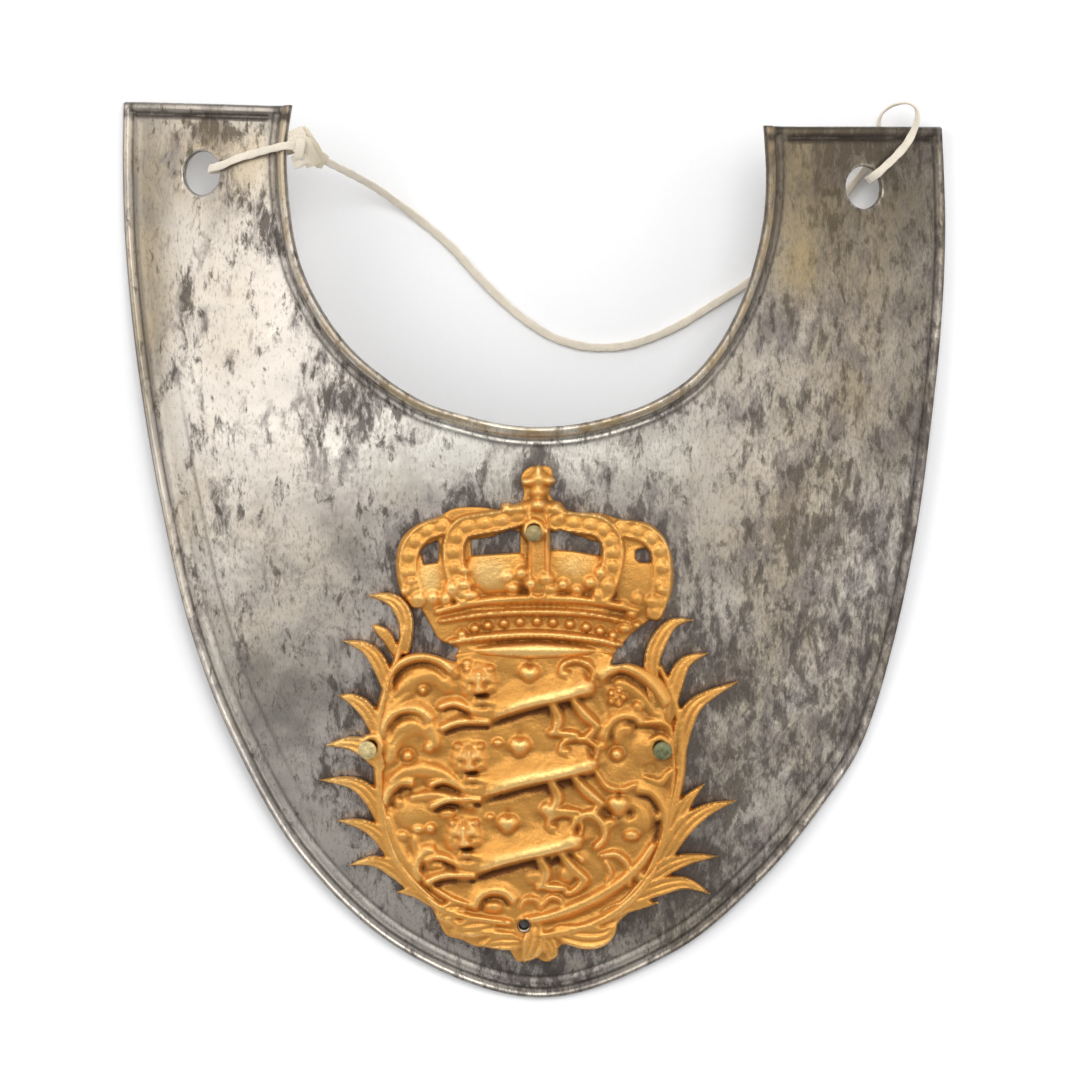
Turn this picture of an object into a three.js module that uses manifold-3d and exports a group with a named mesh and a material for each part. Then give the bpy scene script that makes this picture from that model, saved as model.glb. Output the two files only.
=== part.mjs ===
// A gorget: a crescent-shaped neck plate with a gilt cast mount, its pins and its tie tape.
// Millimetres. It lies on its back on a surface at z = 0, with its front up, +Y to the arms' ends
// and +X to the right of someone who looks at the front.
import * as THREE from 'three';
import { mergeVertices } from 'three/addons/utils/BufferGeometryUtils.js';
import Module from 'manifold-3d';

const wasm = await Module();
wasm.setup();

// The plate's sheet and the two curves of its front: round across, and gently round lengthwise
const PLATE = { thickness: 1.2, crownHeight: 33.34, roundAcross: 127, roundAlong: 341, highestY: 58 };

// How far the plate leans from level when it rests on its two arms and its tip
const LEAN = { perX: 0.0007, perY: -0.0007 };

// Each row is one line across the plate, from the neck edge to the outer edge,
// starting just past the left arm's end and finishing just past the right arm's end
const STATIONS = [
  // neckX, neckY, edgeX, edgeY
  [-47.3, 91.4, -82.8, 93.0],
  [-48.9, 80.5, -83.0, 77.0],
  [-48.4, 68.5, -82.4, 61.0],
  [-46.4, 57.5, -80.8, 44.0],
  [-42.3, 48.5, -78.6, 28.0],
  [-36.6, 40.6, -75.1, 8.5],
  [-29.4, 34.3, -69.8, -14.5],
  [-21.6, 29.5, -61.2, -37.5],
  [-14.0, 27.0, -47.2, -61.8],
  [-6.4, 25.2, -26.2, -81.1],
  [1.0, 24.6, 1.2, -90.4],
  [8.6, 25.2, 27.6, -81.5],
  [16.4, 27.0, 46.0, -66.4],
  [24.0, 29.9, 59.4, -49.9],
  [31.2, 34.6, 66.8, -37.6],
  [37.0, 41.6, 72.6, -18.5],
  [41.2, 49.8, 77.2, 4.0],
  [44.0, 58.4, 80.2, 26.2],
  [45.6, 67.2, 82.2, 46.0],
  [45.9, 76.5, 83.0, 66.0],
  [45.1, 87.5, 82.2, 88.0],
];

// The straight cut across the end of each arm, from its neck corner to its outer corner
const ARM_ENDS = {
  left: { neckX: -47.5, neckY: 88.8, edgeX: -82.8, edgeY: 90.5 },
  right: { neckX: 45.7, neckY: 84.7, edgeX: 82.1, edgeY: 85.4 },
};

// The rolled rim and flare along the neck, and the lip and raised line along the outer edge
const RIM = { width: 2.2, height: 0.8, lineAt: 3.4, lineHeight: 0.2 };
const FLARE = { rise: 1.0, armRise: 2.2, width: 5.0, leftArmWidth: 6.5, rightArmWidth: 10.5 };
const BORDER = { lipWidth: 1.7, lipHeight: 0.5, lineAt: 3.2, lineHalf: 0.9, lineHeight: 0.3 };

const TIE_HOLES = {
  left: { x: -66.9, y: 75.7, radius: 4.4 },
  right: { x: 66.4, y: 72.8, radius: 4.3 },
};

// The mount's distance from the plate, its ground's thickness, and how deep the raised work roots
const MOUNT = { gap: 0.35, ground: 0.9, root: 0.4 };
const PINS = {
  rivet_left: { x: -32.6, y: -39.2, headRadius: 1.9, pad: 3.1 },
  rivet_right: { x: 25.2, y: -39.4, headRadius: 1.9, pad: 2.8 },
  rivet_crown: { x: 0.0, y: 4.0, headRadius: 1.7, pad: 4.2 },
};
const EMPTY_PIN_HOLE = { x: -2.0, y: -75.6, radius: 1.25 };
const PIN = { shank: 0.6, bore: 0.95, clear: 0.3, headRise: 0.9, tailRadius: 1.3, tailRise: 0.6 };

// The steps along a raised bar, and the share of a low dome's foot that its top takes up
const BAR = { step: 5.4, mostSteps: 8, leafSteps: 3 };
const DOME = { topShare: 0.5 };

// The tape: its width, and each stretch's line from end to end
const TAPE = { width: 1.6 };
const TAPE_LINES = {
  // from the knot over the rim to the left hole, through it and back behind the arm
  tape_left_loop: {
    steps: 20,
    line: [
      [-47.6, 80.8, 25.4], [-48.7, 80.8, 26.4], [-50.2, 80.7, 26.7], [-52.2, 80.3, 24.9], [-55.4, 79.6, 21.6],
      [-59.6, 78.4, 19.2], [-62.2, 77.3, 17.8], [-64.0, 76.8, 16.9], [-65.1, 76.5, 15.2], [-65.0, 76.3, 13.2],
      [-63.8, 76.4, 11.7], [-61.9, 76.8, 11.6], [-59.6, 77.3, 13.0], [-56.0, 78.2, 15.9], [-52.0, 79.3, 18.6],
      [-49.4, 79.9, 20.2], [-47.7, 80.3, 21.0],
    ],
  },
  // from the knot down to the surface, across the neck opening and behind the right arm
  tape_span: {
    steps: 38,
    line: [
      [-43.3, 79.1, 22.6], [-41.6, 77.9, 21.2], [-39.6, 76.9, 18.2], [-37.4, 75.9, 14.4], [-34.8, 74.6, 10.2],
      [-31.6, 72.8, 6.2], [-27.8, 70.2, 3.0], [-22.5, 66.2, 1.1], [-16.5, 61.0, 0.9], [-10.7, 54.6, 0.9],
      [-4.6, 48.7, 0.9], [1.2, 44.4, 0.9], [5.7, 42.2, 0.9], [11.7, 40.9, 0.9], [18.2, 41.2, 0.9],
      [24.0, 42.9, 0.9], [30.1, 45.8, 0.9], [36.1, 49.5, 0.9], [42.6, 53.6, 0.9], [49.0, 58.4, 0.9],
      [55.4, 64.0, 0.9], [61.4, 70.2, 0.9], [66.2, 76.0, 1.1], [69.6, 80.3, 1.7],
    ],
  },
  // from the knot out past the arm's end, over it, into the right hole and back to the knot
  tape_right_loop: {
    steps: 24,
    line: [
      [69.9, 84.1, 3.2], [69.5, 86.2, 3.8], [70.4, 88.2, 4.9], [72.4, 89.6, 6.4], [75.0, 90.0, 7.9],
      [76.8, 88.9, 8.9], [77.1, 86.9, 9.1], [76.5, 84.6, 8.9], [75.0, 81.8, 9.7], [72.7, 79.1, 11.4],
      [70.7, 77.2, 12.9], [69.2, 75.8, 13.7], [67.7, 74.7, 12.9], [67.1, 74.3, 11.1], [67.7, 74.7, 9.2],
      [69.0, 75.9, 7.6], [70.2, 77.3, 6.2], [70.9, 78.9, 4.9], [71.1, 80.4, 3.9],
    ],
  },
};
const TAPE_KNOTS = {
  // the middle and the half sizes of each
  tape_left_knot: { middle: [-45.9, 80.4, 23.2], half: [2.4, 3.4, 2.5] },
  tape_right_knot: { middle: [71.0, 82.2, 2.2], half: [1.9, 2.1, 2.0] },
};

// The casting's ground is these outlines, with these gaps cut through it
const GROUND_OUTLINES = {
  crown: [
    [-18.8, -18.0], [-20.4, -15.6], [-22.8, -11.6], [-25.8, -10.0], [-27.2, -6.4], [-27.6, -2.0],
    [-26.4, 2.4], [-23.2, 5.2], [-18.8, 6.8], [-15.8, 8.4], [-10.8, 8.6], [-5.8, 8.0], [-3.2, 9.0],
    [-2.0, 11.2], [-2.6, 14.4], [-0.8, 16.6], [3.2, 16.6], [3.8, 14.0], [3.2, 11.2], [5.2, 9.0],
    [8.2, 7.6], [13.2, 7.4], [17.2, 6.2], [22.2, 5.6], [25.6, 3.2], [27.6, -1.2], [27.8, -7.0],
    [26.4, -11.2], [23.6, -13.6], [19.6, -16.8], [16.8, -19.6], [13.2, -21.2], [-12.8, -21.2],
    [-15.2, -19.6],
  ],
  shield: [
    [-13.2, -20.2], [-15.6, -22.2], [-18.8, -21.2], [-22.8, -20.4], [-26.4, -21.4], [-28.8, -24.0],
    [-30.2, -29.0], [-31.0, -36.0], [-30.8, -45.0], [-30.4, -52.0], [-29.2, -59.0], [-26.4, -65.0],
    [-21.8, -70.0], [-19.2, -75.0], [-17.6, -77.6], [-14.4, -78.6], [-11.2, -80.0], [-5.8, -80.0],
    [-3.2, -83.0], [-0.4, -82.0], [3.2, -83.0], [5.6, -79.6], [10.2, -80.0], [14.2, -79.0],
    [17.0, -75.0], [21.2, -71.0], [24.2, -66.0], [26.0, -60.0], [27.6, -53.0], [29.2, -46.0],
    [29.8, -39.0], [29.2, -33.0], [27.6, -28.0], [25.2, -25.2], [22.2, -23.6], [19.2, -22.6],
    [15.6, -22.8], [13.6, -20.2],
  ],
};
const PIERCED_GAPS = [
  [[-12.6, 2.0], [-8.4, 2.6], [-4.4, 4.2], [-2.8, 3.4], [-2.8, -0.4], [-12.4, -1.0]],
  [[-22.6, -0.4], [-21.6, 0.8], [-19.2, 2.0], [-19.0, 0.4], [-19.2, -2.4], [-22.0, -2.8]],
  [[3.4, 3.4], [5.2, 4.0], [13.2, 1.4], [13.2, -1.0], [7.2, 0.0], [3.6, 0.2]],
  [[20.4, 0.0], [22.2, 0.4], [23.2, -0.6], [23.2, -2.4], [21.2, -2.4], [20.4, -1.6]],
];

// Raised bars. Each has its line from root to tip, its greatest width and its height over the plate.
const LEAVES = [
  // left branch, from the top down
  {
    path: [[-25.8, -20.0], [-25.6, -14.4], [-27.2, -10.8], [-30.0, -9.4], [-33.4, -9.2]],
    width: 3.4,
    height: 2.8,
  },
  { path: [[-27.6, -21.0], [-29.2, -17.6], [-31.2, -15.8], [-32.4, -15.0]], width: 2.4, height: 2.2 },
  { path: [[-28.8, -29.0], [-30.8, -23.0], [-33.6, -19.6], [-38.2, -18.2]], width: 3.4, height: 2.6 },
  { path: [[-30.4, -39.0], [-33.2, -32.6], [-36.2, -30.0], [-39.2, -29.2]], width: 3.4, height: 2.4 },
  { path: [[-30.8, -43.4], [-33.0, -40.4], [-36.6, -38.8], [-41.6, -39.2]], width: 4.0, height: 2.8 },
  { path: [[-29.8, -56.0], [-32.4, -50.0], [-36.4, -46.8], [-43.0, -46.2]], width: 3.6, height: 2.4 },
  { path: [[-27.8, -63.0], [-30.8, -57.6], [-34.4, -55.2], [-39.4, -54.4]], width: 3.2, height: 2.4 },
  { path: [[-23.8, -68.6], [-27.8, -64.6], [-32.0, -62.6], [-37.0, -63.4]], width: 3.2, height: 2.2 },
  { path: [[-19.6, -71.6], [-23.2, -69.0], [-27.6, -68.8]], width: 2.6, height: 2.0 },
  // right branch, from the top down
  {
    path: [[23.8, -30.0], [23.6, -22.4], [25.4, -17.4], [28.0, -14.6], [31.8, -14.0]],
    width: 3.6,
    height: 2.8,
  },
  { path: [[26.6, -35.0], [28.0, -27.4], [30.2, -22.6], [34.8, -20.6]], width: 3.6, height: 2.6 },
  { path: [[28.6, -43.0], [30.0, -35.2], [33.0, -30.4], [40.8, -26.4]], width: 4.0, height: 2.8 },
  { path: [[26.4, -62.0], [28.4, -55.2], [30.8, -50.4], [34.2, -47.0]], width: 3.4, height: 2.4 },
  { path: [[25.0, -64.0], [29.6, -56.4], [34.4, -52.4], [40.4, -50.4]], width: 3.8, height: 2.6 },
  { path: [[20.6, -68.6], [25.6, -64.4], [30.8, -62.2], [37.0, -61.6]], width: 3.4, height: 2.4 },
  { path: [[18.0, -71.0], [24.2, -68.2], [30.2, -67.0], [35.4, -69.2]], width: 3.6, height: 2.4 },
  { path: [[13.0, -74.0], [18.2, -71.8], [25.0, -71.0]], width: 3.2, height: 2.2 },
];
const STEMS = [
  {
    path: [[-20.0, -70.8], [-25.2, -65.6], [-28.4, -61.0], [-30.2, -55.0], [-31.0, -48.0], [-31.2, -41.0],
      [-30.8, -33.0], [-29.2, -27.0], [-27.2, -21.0], [-25.8, -15.6]],
    width: 2.2,
    height: 2.6,
  },
  {
    path: [[17.2, -71.6], [22.2, -66.0], [25.2, -60.0], [27.6, -53.0], [29.2, -46.0], [29.6, -40.0],
      [29.2, -34.0], [27.6, -29.0], [25.4, -23.6]],
    width: 2.2,
    height: 2.6,
  },
];

// Scrolls, ribs and small leaves on the shield
const SCROLLS = [
  {
    path: [[-29.4, -33.0], [-29.2, -27.0], [-27.4, -23.6], [-24.4, -21.8], [-20.4, -21.6],
      [-16.8, -22.8], [-14.6, -25.0]],
    width: 2.0,
    height: 3.0,
  },
  { path: [[-28.8, -31.4], [-26.8, -29.6], [-23.8, -28.0]], width: 1.7, height: 2.4 },
  {
    path: [[-30.0, -41.0], [-29.6, -36.0], [-27.4, -33.4], [-24.4, -32.4], [-21.2, -33.2],
      [-18.8, -35.6], [-18.2, -39.2]],
    width: 2.2,
    height: 2.9,
  },
  {
    path: [[-29.2, -58.0], [-29.4, -52.4], [-28.2, -49.0], [-25.6, -46.8], [-21.8, -46.2],
      [-17.8, -46.6], [-14.4, -48.2]],
    width: 2.2,
    height: 2.9,
  },
  { path: [[-28.2, -61.0], [-25.2, -66.4], [-21.4, -70.2], [-18.0, -72.0]], width: 1.8, height: 2.8 },
  {
    path: [[13.0, -27.0], [15.6, -24.6], [19.2, -23.8], [22.2, -25.2], [24.4, -28.0], [26.2, -33.0]],
    width: 2.0,
    height: 3.0,
  },
  {
    path: [[14.0, -38.6], [13.6, -34.6], [13.2, -30.0], [14.6, -27.8], [17.2, -27.2], [19.6, -28.2],
      [20.6, -30.4]],
    width: 1.5,
    height: 2.6,
  },
  { path: [[15.2, -37.2], [18.2, -35.6], [22.2, -34.4], [25.6, -34.6]], width: 1.8, height: 2.5 },
  {
    path: [[13.2, -48.0], [18.2, -48.8], [22.2, -51.0], [24.2, -55.0], [23.8, -60.0], [21.2, -64.4]],
    width: 2.0,
    height: 2.6,
  },
  { path: [[13.8, -61.8], [15.6, -61.0], [17.2, -62.0], [17.0, -65.0]], width: 1.3, height: 2.3 },
];
const RIBS = [
  {
    path: [[-2.6, -74.8], [2.2, -74.8], [8.2, -73.2], [13.2, -70.0], [16.2, -66.0], [17.4, -61.6]],
    width: 2.0,
    height: 3.2,
  },
  { path: [[1.0, -78.0], [8.2, -76.8], [13.2, -75.0], [17.4, -72.4]], width: 1.8, height: 2.7 },
  { path: [[-18.8, -71.2], [-14.8, -73.2], [-10.8, -74.4], [-5.2, -75.0]], width: 1.8, height: 2.8 },
  { path: [[-15.8, -75.4], [-10.8, -76.8], [-4.6, -77.6]], width: 2.0, height: 2.6 },
];

// The crown's parts: its arches, and what stands on its circlet
const ARCHES = [
  {
    path: [[-3.0, 6.8], [-6.8, 5.8], [-10.8, 5.2], [-14.4, 4.2], [-16.0, 1.0], [-16.0, -2.4],
      [-15.2, -6.0], [-14.4, -8.6]],
    width: 4.2,
    height: 3.6,
  },
  {
    path: [[4.4, 5.8], [9.2, 5.4], [13.2, 4.6], [15.4, 2.0], [15.8, -1.2], [15.2, -5.0], [14.0, -8.4]],
    width: 4.2,
    height: 3.6,
  },
  {
    path: [[-18.2, 4.8], [-21.8, 3.6], [-24.4, 0.8], [-25.2, -3.0], [-24.6, -7.0], [-23.4, -10.0]],
    width: 3.6,
    height: 3.0,
  },
  {
    path: [[17.4, 4.4], [22.0, 3.4], [24.8, 0.6], [25.6, -4.0], [25.2, -9.0], [24.2, -12.4]],
    width: 3.6,
    height: 3.0,
  },
  { path: [[0.8, 7.4], [1.0, 3.0], [1.0, -4.0], [0.8, -8.0]], width: 3.8, height: 3.9 },
];
const CROWN_BARS = [
  { path: [[1.2, 9.6], [1.2, 16.2]], width: 1.9, height: 3.4 },
  { path: [[-2.2, 13.8], [3.6, 13.8]], width: 2.0, height: 3.2 },
  { path: [[-3.6, 7.6], [6.2, 7.4]], width: 2.6, height: 3.4 },
  {
    path: [[-19.0, -12.6], [-12.8, -10.4], [-6.8, -9.4], [0.6, -9.0], [8.2, -9.4], [14.2, -10.4],
      [20.4, -12.6]],
    width: 2.4,
    height: 2.7,
  },
  {
    path: [[-17.6, -15.4], [-9.0, -13.6], [0.6, -13.0], [10.0, -13.8], [18.4, -15.8]],
    width: 5.2,
    height: 2.4,
  },
  {
    path: [[-16.6, -18.4], [-10.8, -17.4], [0.6, -16.8], [12.2, -17.8], [17.2, -19.0]],
    width: 1.6,
    height: 3.1,
  },
];
const FLEURONS = {
  places: [[-24.2, -9.6], [-14.6, -7.8], [0.6, -6.8], [13.8, -6.4], [23.2, -9.8]],
  halfX: 2.3,
  halfY: 2.1,
  height: 3.6,
};

// Rounded swellings. Each has its middle, its half sizes and its height over the plate.
const SWELLINGS = [
  // x, y, halfX, halfY, height
  [0.6, 9.2, 2.0, 2.0, 4.6],
  [-7.2, -4.6, 6.2, 4.0, 2.3],
  [8.4, -4.2, 6.2, 4.0, 2.3],
  [-20.4, -6.6, 2.8, 4.8, 2.0],
  [20.2, -7.0, 3.2, 5.0, 2.0],
  [0.4, -20.1, 13.2, 2.1, 2.6],
  [-24.4, -27.0, 3.8, 3.2, 2.0],
  [-24.0, -38.6, 3.6, 4.2, 2.1],
  [-24.6, -53.6, 4.0, 5.2, 2.1],
  [18.6, -31.4, 3.6, 3.4, 2.1],
  [18.0, -54.6, 4.4, 5.0, 2.1],
];
const STUDS = [
  // x, y, radius, height
  [-22.4, -28.2, 1.2, 2.8],
  [-25.2, -41.0, 1.2, 2.6],
  [-20.2, -39.2, 1.4, 2.6],
  [-22.8, -56.6, 1.8, 2.5],
  [15.8, -29.6, 1.1, 2.9],
  [18.0, -29.2, 1.1, 2.9],
  [20.8, -31.2, 1.1, 2.9],
  [17.6, -41.0, 1.4, 2.7],
  [23.0, -43.8, 1.2, 2.6],
  [17.6, -51.4, 1.9, 3.0],
  [19.2, -57.2, 1.6, 3.0],
  [14.4, -56.2, 1.3, 2.6],
];
const HEARTS = {
  places: [[-0.8, -24.8], [-2.8, -39.4], [3.4, -52.4], [-5.2, -55.0]],
  size: 3.2,
  height: 2.8,
};

// One walking beast, measured from the middle of its face, and the places of the three
const BEASTS = [
  // faceX, faceY, stretch along the body
  [-11.0, -27.0, 1.0],
  [-13.0, -42.6, 1.12],
  [-14.0, -58.0, 1.03],
];
const BEAST_BARS = [
  { path: [[0.0, -5.2], [4.2, -5.6], [10.2, -4.2], [16.2, -2.6], [22.0, -1.0]], width: 3.2, height: 3.8 },
  { path: [[0.4, -6.0], [-3.8, -7.4], [-7.2, -8.8]], width: 1.8, height: 3.1 },
  { path: [[-1.2, -4.2], [-4.4, -3.4], [-7.0, -4.8]], width: 1.7, height: 3.1 },
  { path: [[18.6, -2.4], [16.6, -5.0], [14.6, -6.8]], width: 1.9, height: 3.0 },
  { path: [[21.6, -2.4], [24.0, -5.8], [23.4, -9.0], [20.6, -10.4]], width: 1.8, height: 3.0 },
  { path: [[22.6, -0.4], [23.6, 1.8], [21.2, 3.6], [17.8, 3.8], [16.6, 2.4]], width: 1.3, height: 2.6 },
  { path: [[0.0, 3.0], [0.0, -2.0]], width: 1.8, height: 4.9 },
];
const BEAST_SWELLINGS = [
  [0.0, 0.4, 3.0, 3.6, 4.0],
  [2.0, -4.2, 3.4, 2.8, 3.8],
  [20.0, -1.8, 2.6, 2.2, 3.8],
];

const silvered = { color: 0x9c948a, roughness: 0.42, metalness: 1.0 };
const gilt = { color: 0xd79a3c, roughness: 0.38, metalness: 1.0 };
const pinMetal = { color: 0x7d7a64, roughness: 0.6, metalness: 0.9 };
const cotton = { color: 0xece6d8, roughness: 0.95, metalness: 0.0 };

// Solids from meshes and back
function solidOf(geometry) {
  const bare = geometry.clone();
  for (const name of Object.keys(bare.attributes)) {
    if (name !== 'position') bare.deleteAttribute(name);
  }
  const merged = mergeVertices(bare, 1e-5);
  return new wasm.Manifold(new wasm.Mesh({
    numProp: 3,
    vertProperties: new Float32Array(merged.attributes.position.array),
    triVerts: new Uint32Array(merged.index.array),
  }));
}

function geometryOf(solid) {
  const mesh = solid.getMesh();
  const geometry = new THREE.BufferGeometry();
  geometry.setAttribute('position', new THREE.BufferAttribute(mesh.vertProperties, 3));
  geometry.setIndex(new THREE.BufferAttribute(mesh.triVerts, 1));
  geometry.computeVertexNormals();
  return geometry;
}

function namedMesh(name, geometry, finish) {
  const mesh = new THREE.Mesh(geometry, new THREE.MeshStandardMaterial(finish));
  mesh.name = name;
  return mesh;
}

function geometryFrom(points, triangles) {
  const geometry = new THREE.BufferGeometry();
  const numbers = points.flatMap((point) => [point.x, point.y, point.z]);
  geometry.setAttribute('position', new THREE.Float32BufferAttribute(numbers, 3));
  geometry.setIndex(triangles);
  return geometry;
}

// A closed body between an upper and a lower sheet of points.
// Seen from above, the rows run to the right of the way that the columns run.
function closedSheet(columns, rows, upper, lower) {
  const points = [];
  const triangles = [];
  for (const sheet of [upper, lower]) {
    for (let i = 0; i <= columns; i += 1) {
      for (let j = 0; j <= rows; j += 1) points.push(sheet(i, j));
    }
  }
  const under = (columns + 1) * (rows + 1);
  const at = (i, j) => i * (rows + 1) + j;
  const quad = (a, b, c, d) => triangles.push(a, c, b, a, d, c);
  for (let i = 0; i < columns; i += 1) {
    for (let j = 0; j < rows; j += 1) {
      quad(at(i, j), at(i + 1, j), at(i + 1, j + 1), at(i, j + 1));
      quad(under + at(i, j), under + at(i, j + 1), under + at(i + 1, j + 1), under + at(i + 1, j));
    }
    quad(at(i + 1, 0), at(i, 0), under + at(i, 0), under + at(i + 1, 0));
    quad(at(i, rows), at(i + 1, rows), under + at(i + 1, rows), under + at(i, rows));
  }
  for (let j = 0; j < rows; j += 1) {
    quad(at(0, j), at(0, j + 1), under + at(0, j + 1), under + at(0, j));
    quad(at(columns, j + 1), at(columns, j), under + at(columns, j), under + at(columns, j + 1));
  }
  return geometryFrom(points, triangles);
}

// The height of the plate's plain front over a place, without rims
function faceHeight(x, y) {
  const across = PLATE.roundAcross - Math.sqrt(PLATE.roundAcross ** 2 - x ** 2);
  const along = (y - PLATE.highestY) ** 2 / (2 * PLATE.roundAlong);
  return PLATE.crownHeight - across - along + LEAN.perX * x + LEAN.perY * y;
}

function faceNormal(x, y) {
  const step = 0.01;
  const slopeX = (faceHeight(x + step, y) - faceHeight(x - step, y)) / (2 * step);
  const slopeY = (faceHeight(x, y + step) - faceHeight(x, y - step)) / (2 * step);
  return new THREE.Vector3(-slopeX, -slopeY, 1).normalize();
}

const onFace = (x, y, rise = 0) => new THREE.Vector3(x, y, faceHeight(x, y) + rise);

// The neck rim's share of the height at a distance from the neck edge
function rimRise(distance) {
  const bead = distance < RIM.width
    ? RIM.height * Math.sin(Math.PI * Math.min(1, (distance + 0.35) / (RIM.width + 0.35))) : 0;
  const line = RIM.lineHeight * Math.max(0, 1 - Math.abs(distance - RIM.lineAt) / 0.8);
  return bead + line;
}

// Near the neck the sheet bends up, most on the arms; along is 0 at the left arm's end, 1 at the right's
function flareRise(distance, along) {
  const armShare = Math.abs(2 * along - 1) ** 1.5;
  const armWidth = along < 0.5 ? FLARE.leftArmWidth : FLARE.rightArmWidth;
  const width = FLARE.width + (armWidth - FLARE.width) * armShare;
  const rise = FLARE.rise + (FLARE.armRise - FLARE.rise) * armShare;
  return rise * Math.max(0, 1 - distance / width) ** 2;
}

function borderRise(distance) {
  const acrossLip = Math.min(1, (distance + 0.5) / (BORDER.lipWidth + 0.5));
  const lip = BORDER.lipHeight * Math.max(0, Math.sin(Math.PI * acrossLip));
  const line = BORDER.lineHeight * Math.max(0, 1 - Math.abs(distance - BORDER.lineAt) / BORDER.lineHalf);
  return lip + line;
}

function distanceFromEnd(end, x, y) {
  const run = Math.hypot(end.edgeX - end.neckX, end.edgeY - end.neckY);
  const side = (end.edgeX - end.neckX) * (y - end.neckY) - (end.edgeY - end.neckY) * (x - end.neckX);
  return Math.abs(side) / run;
}

function buildPlate() {
  const neckLine = new THREE.SplineCurve(STATIONS.map(([x, y]) => new THREE.Vector2(x, y)));
  const edgeLine = new THREE.SplineCurve(STATIONS.map(([, , x, y]) => new THREE.Vector2(x, y)));
  const columns = 42;
  const fromNeck = [0, 0.7, 1.6, 2.4, 5.6];
  const fromEdge = [4.1, 3.2, 2.2, 1.0, 0];
  const between = 4;
  const rows = fromNeck.length + between + fromEdge.length - 1;

  function place(i, j) {
    const along = i / columns;
    const neck = neckLine.getPoint(along);
    const edge = edgeLine.getPoint(along);
    const width = neck.distanceTo(edge);
    const innerEnd = fromNeck[fromNeck.length - 1];
    const outerStart = width - fromEdge[0];
    let distance = innerEnd + ((outerStart - innerEnd) * (j - fromNeck.length + 1)) / (between + 1);
    if (j < fromNeck.length) distance = fromNeck[j];
    if (j >= fromNeck.length + between) distance = width - fromEdge[j - fromNeck.length - between];
    const spot = neck.clone().lerp(edge, distance / width);
    return { spot, distance, along, toEdge: width - distance };
  }

  function lower(i, j) {
    const { spot, distance, along } = place(i, j);
    const lift = flareRise(distance, along) - PLATE.thickness;
    return onFace(spot.x, spot.y).addScaledVector(faceNormal(spot.x, spot.y), lift);
  }

  function upper(i, j) {
    const { spot, distance, along, toEdge } = place(i, j);
    const end = along < 0.5 ? ARM_ENDS.left : ARM_ENDS.right;
    const onArm = along < 0.08 || along > 0.92;
    const fromSide = onArm ? Math.min(toEdge, distanceFromEnd(end, spot.x, spot.y)) : toEdge;
    const rise = Math.max(rimRise(distance), borderRise(fromSide)) + flareRise(distance, along);
    return onFace(spot.x, spot.y).addScaledVector(faceNormal(spot.x, spot.y), rise);
  }

  let plate = solidOf(closedSheet(columns, rows, upper, lower));
  for (const end of Object.values(ARM_ENDS)) plate = plate.subtract(solidOf(endCutter(end)));
  for (const hole of Object.values(TIE_HOLES)) plate = plate.subtract(borer(hole.x, hole.y, hole.radius, 24));
  for (const pin of Object.values(PINS)) plate = plate.subtract(borer(pin.x, pin.y, PIN.bore, 8));
  plate = plate.subtract(borer(EMPTY_PIN_HOLE.x, EMPTY_PIN_HOLE.y, PIN.bore, 8));
  return namedMesh('plate', geometryOf(plate), silvered);
}

// A block whose inner side is the straight cut across an arm's end
function endCutter(end) {
  const run = new THREE.Vector2(end.edgeX - end.neckX, end.edgeY - end.neckY);
  const block = new THREE.BoxGeometry(run.length() + 20, 10, 60);
  block.translate(0, 5, 20);
  block.rotateZ(Math.atan2(run.y, run.x) + (run.x < 0 ? Math.PI : 0));
  block.translate((end.neckX + end.edgeX) / 2, (end.neckY + end.edgeY) / 2, 0);
  return block;
}

// A round cutter square to the plate's face
function borer(x, y, radius, sides) {
  const cutter = new THREE.CylinderGeometry(radius, radius, 14, sides);
  cutter.rotateX(Math.PI / 2);
  return solidOf(seatedOnFace(cutter, x, y));
}

// Moves a shape that was made about the Z axis so that its axis stands on the plate's face
function seatedOnFace(shape, x, y) {
  const turn = new THREE.Quaternion().setFromUnitVectors(new THREE.Vector3(0, 0, 1), faceNormal(x, y));
  shape.applyQuaternion(turn);
  shape.translate(x, y, faceHeight(x, y));
  return shape;
}

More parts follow.
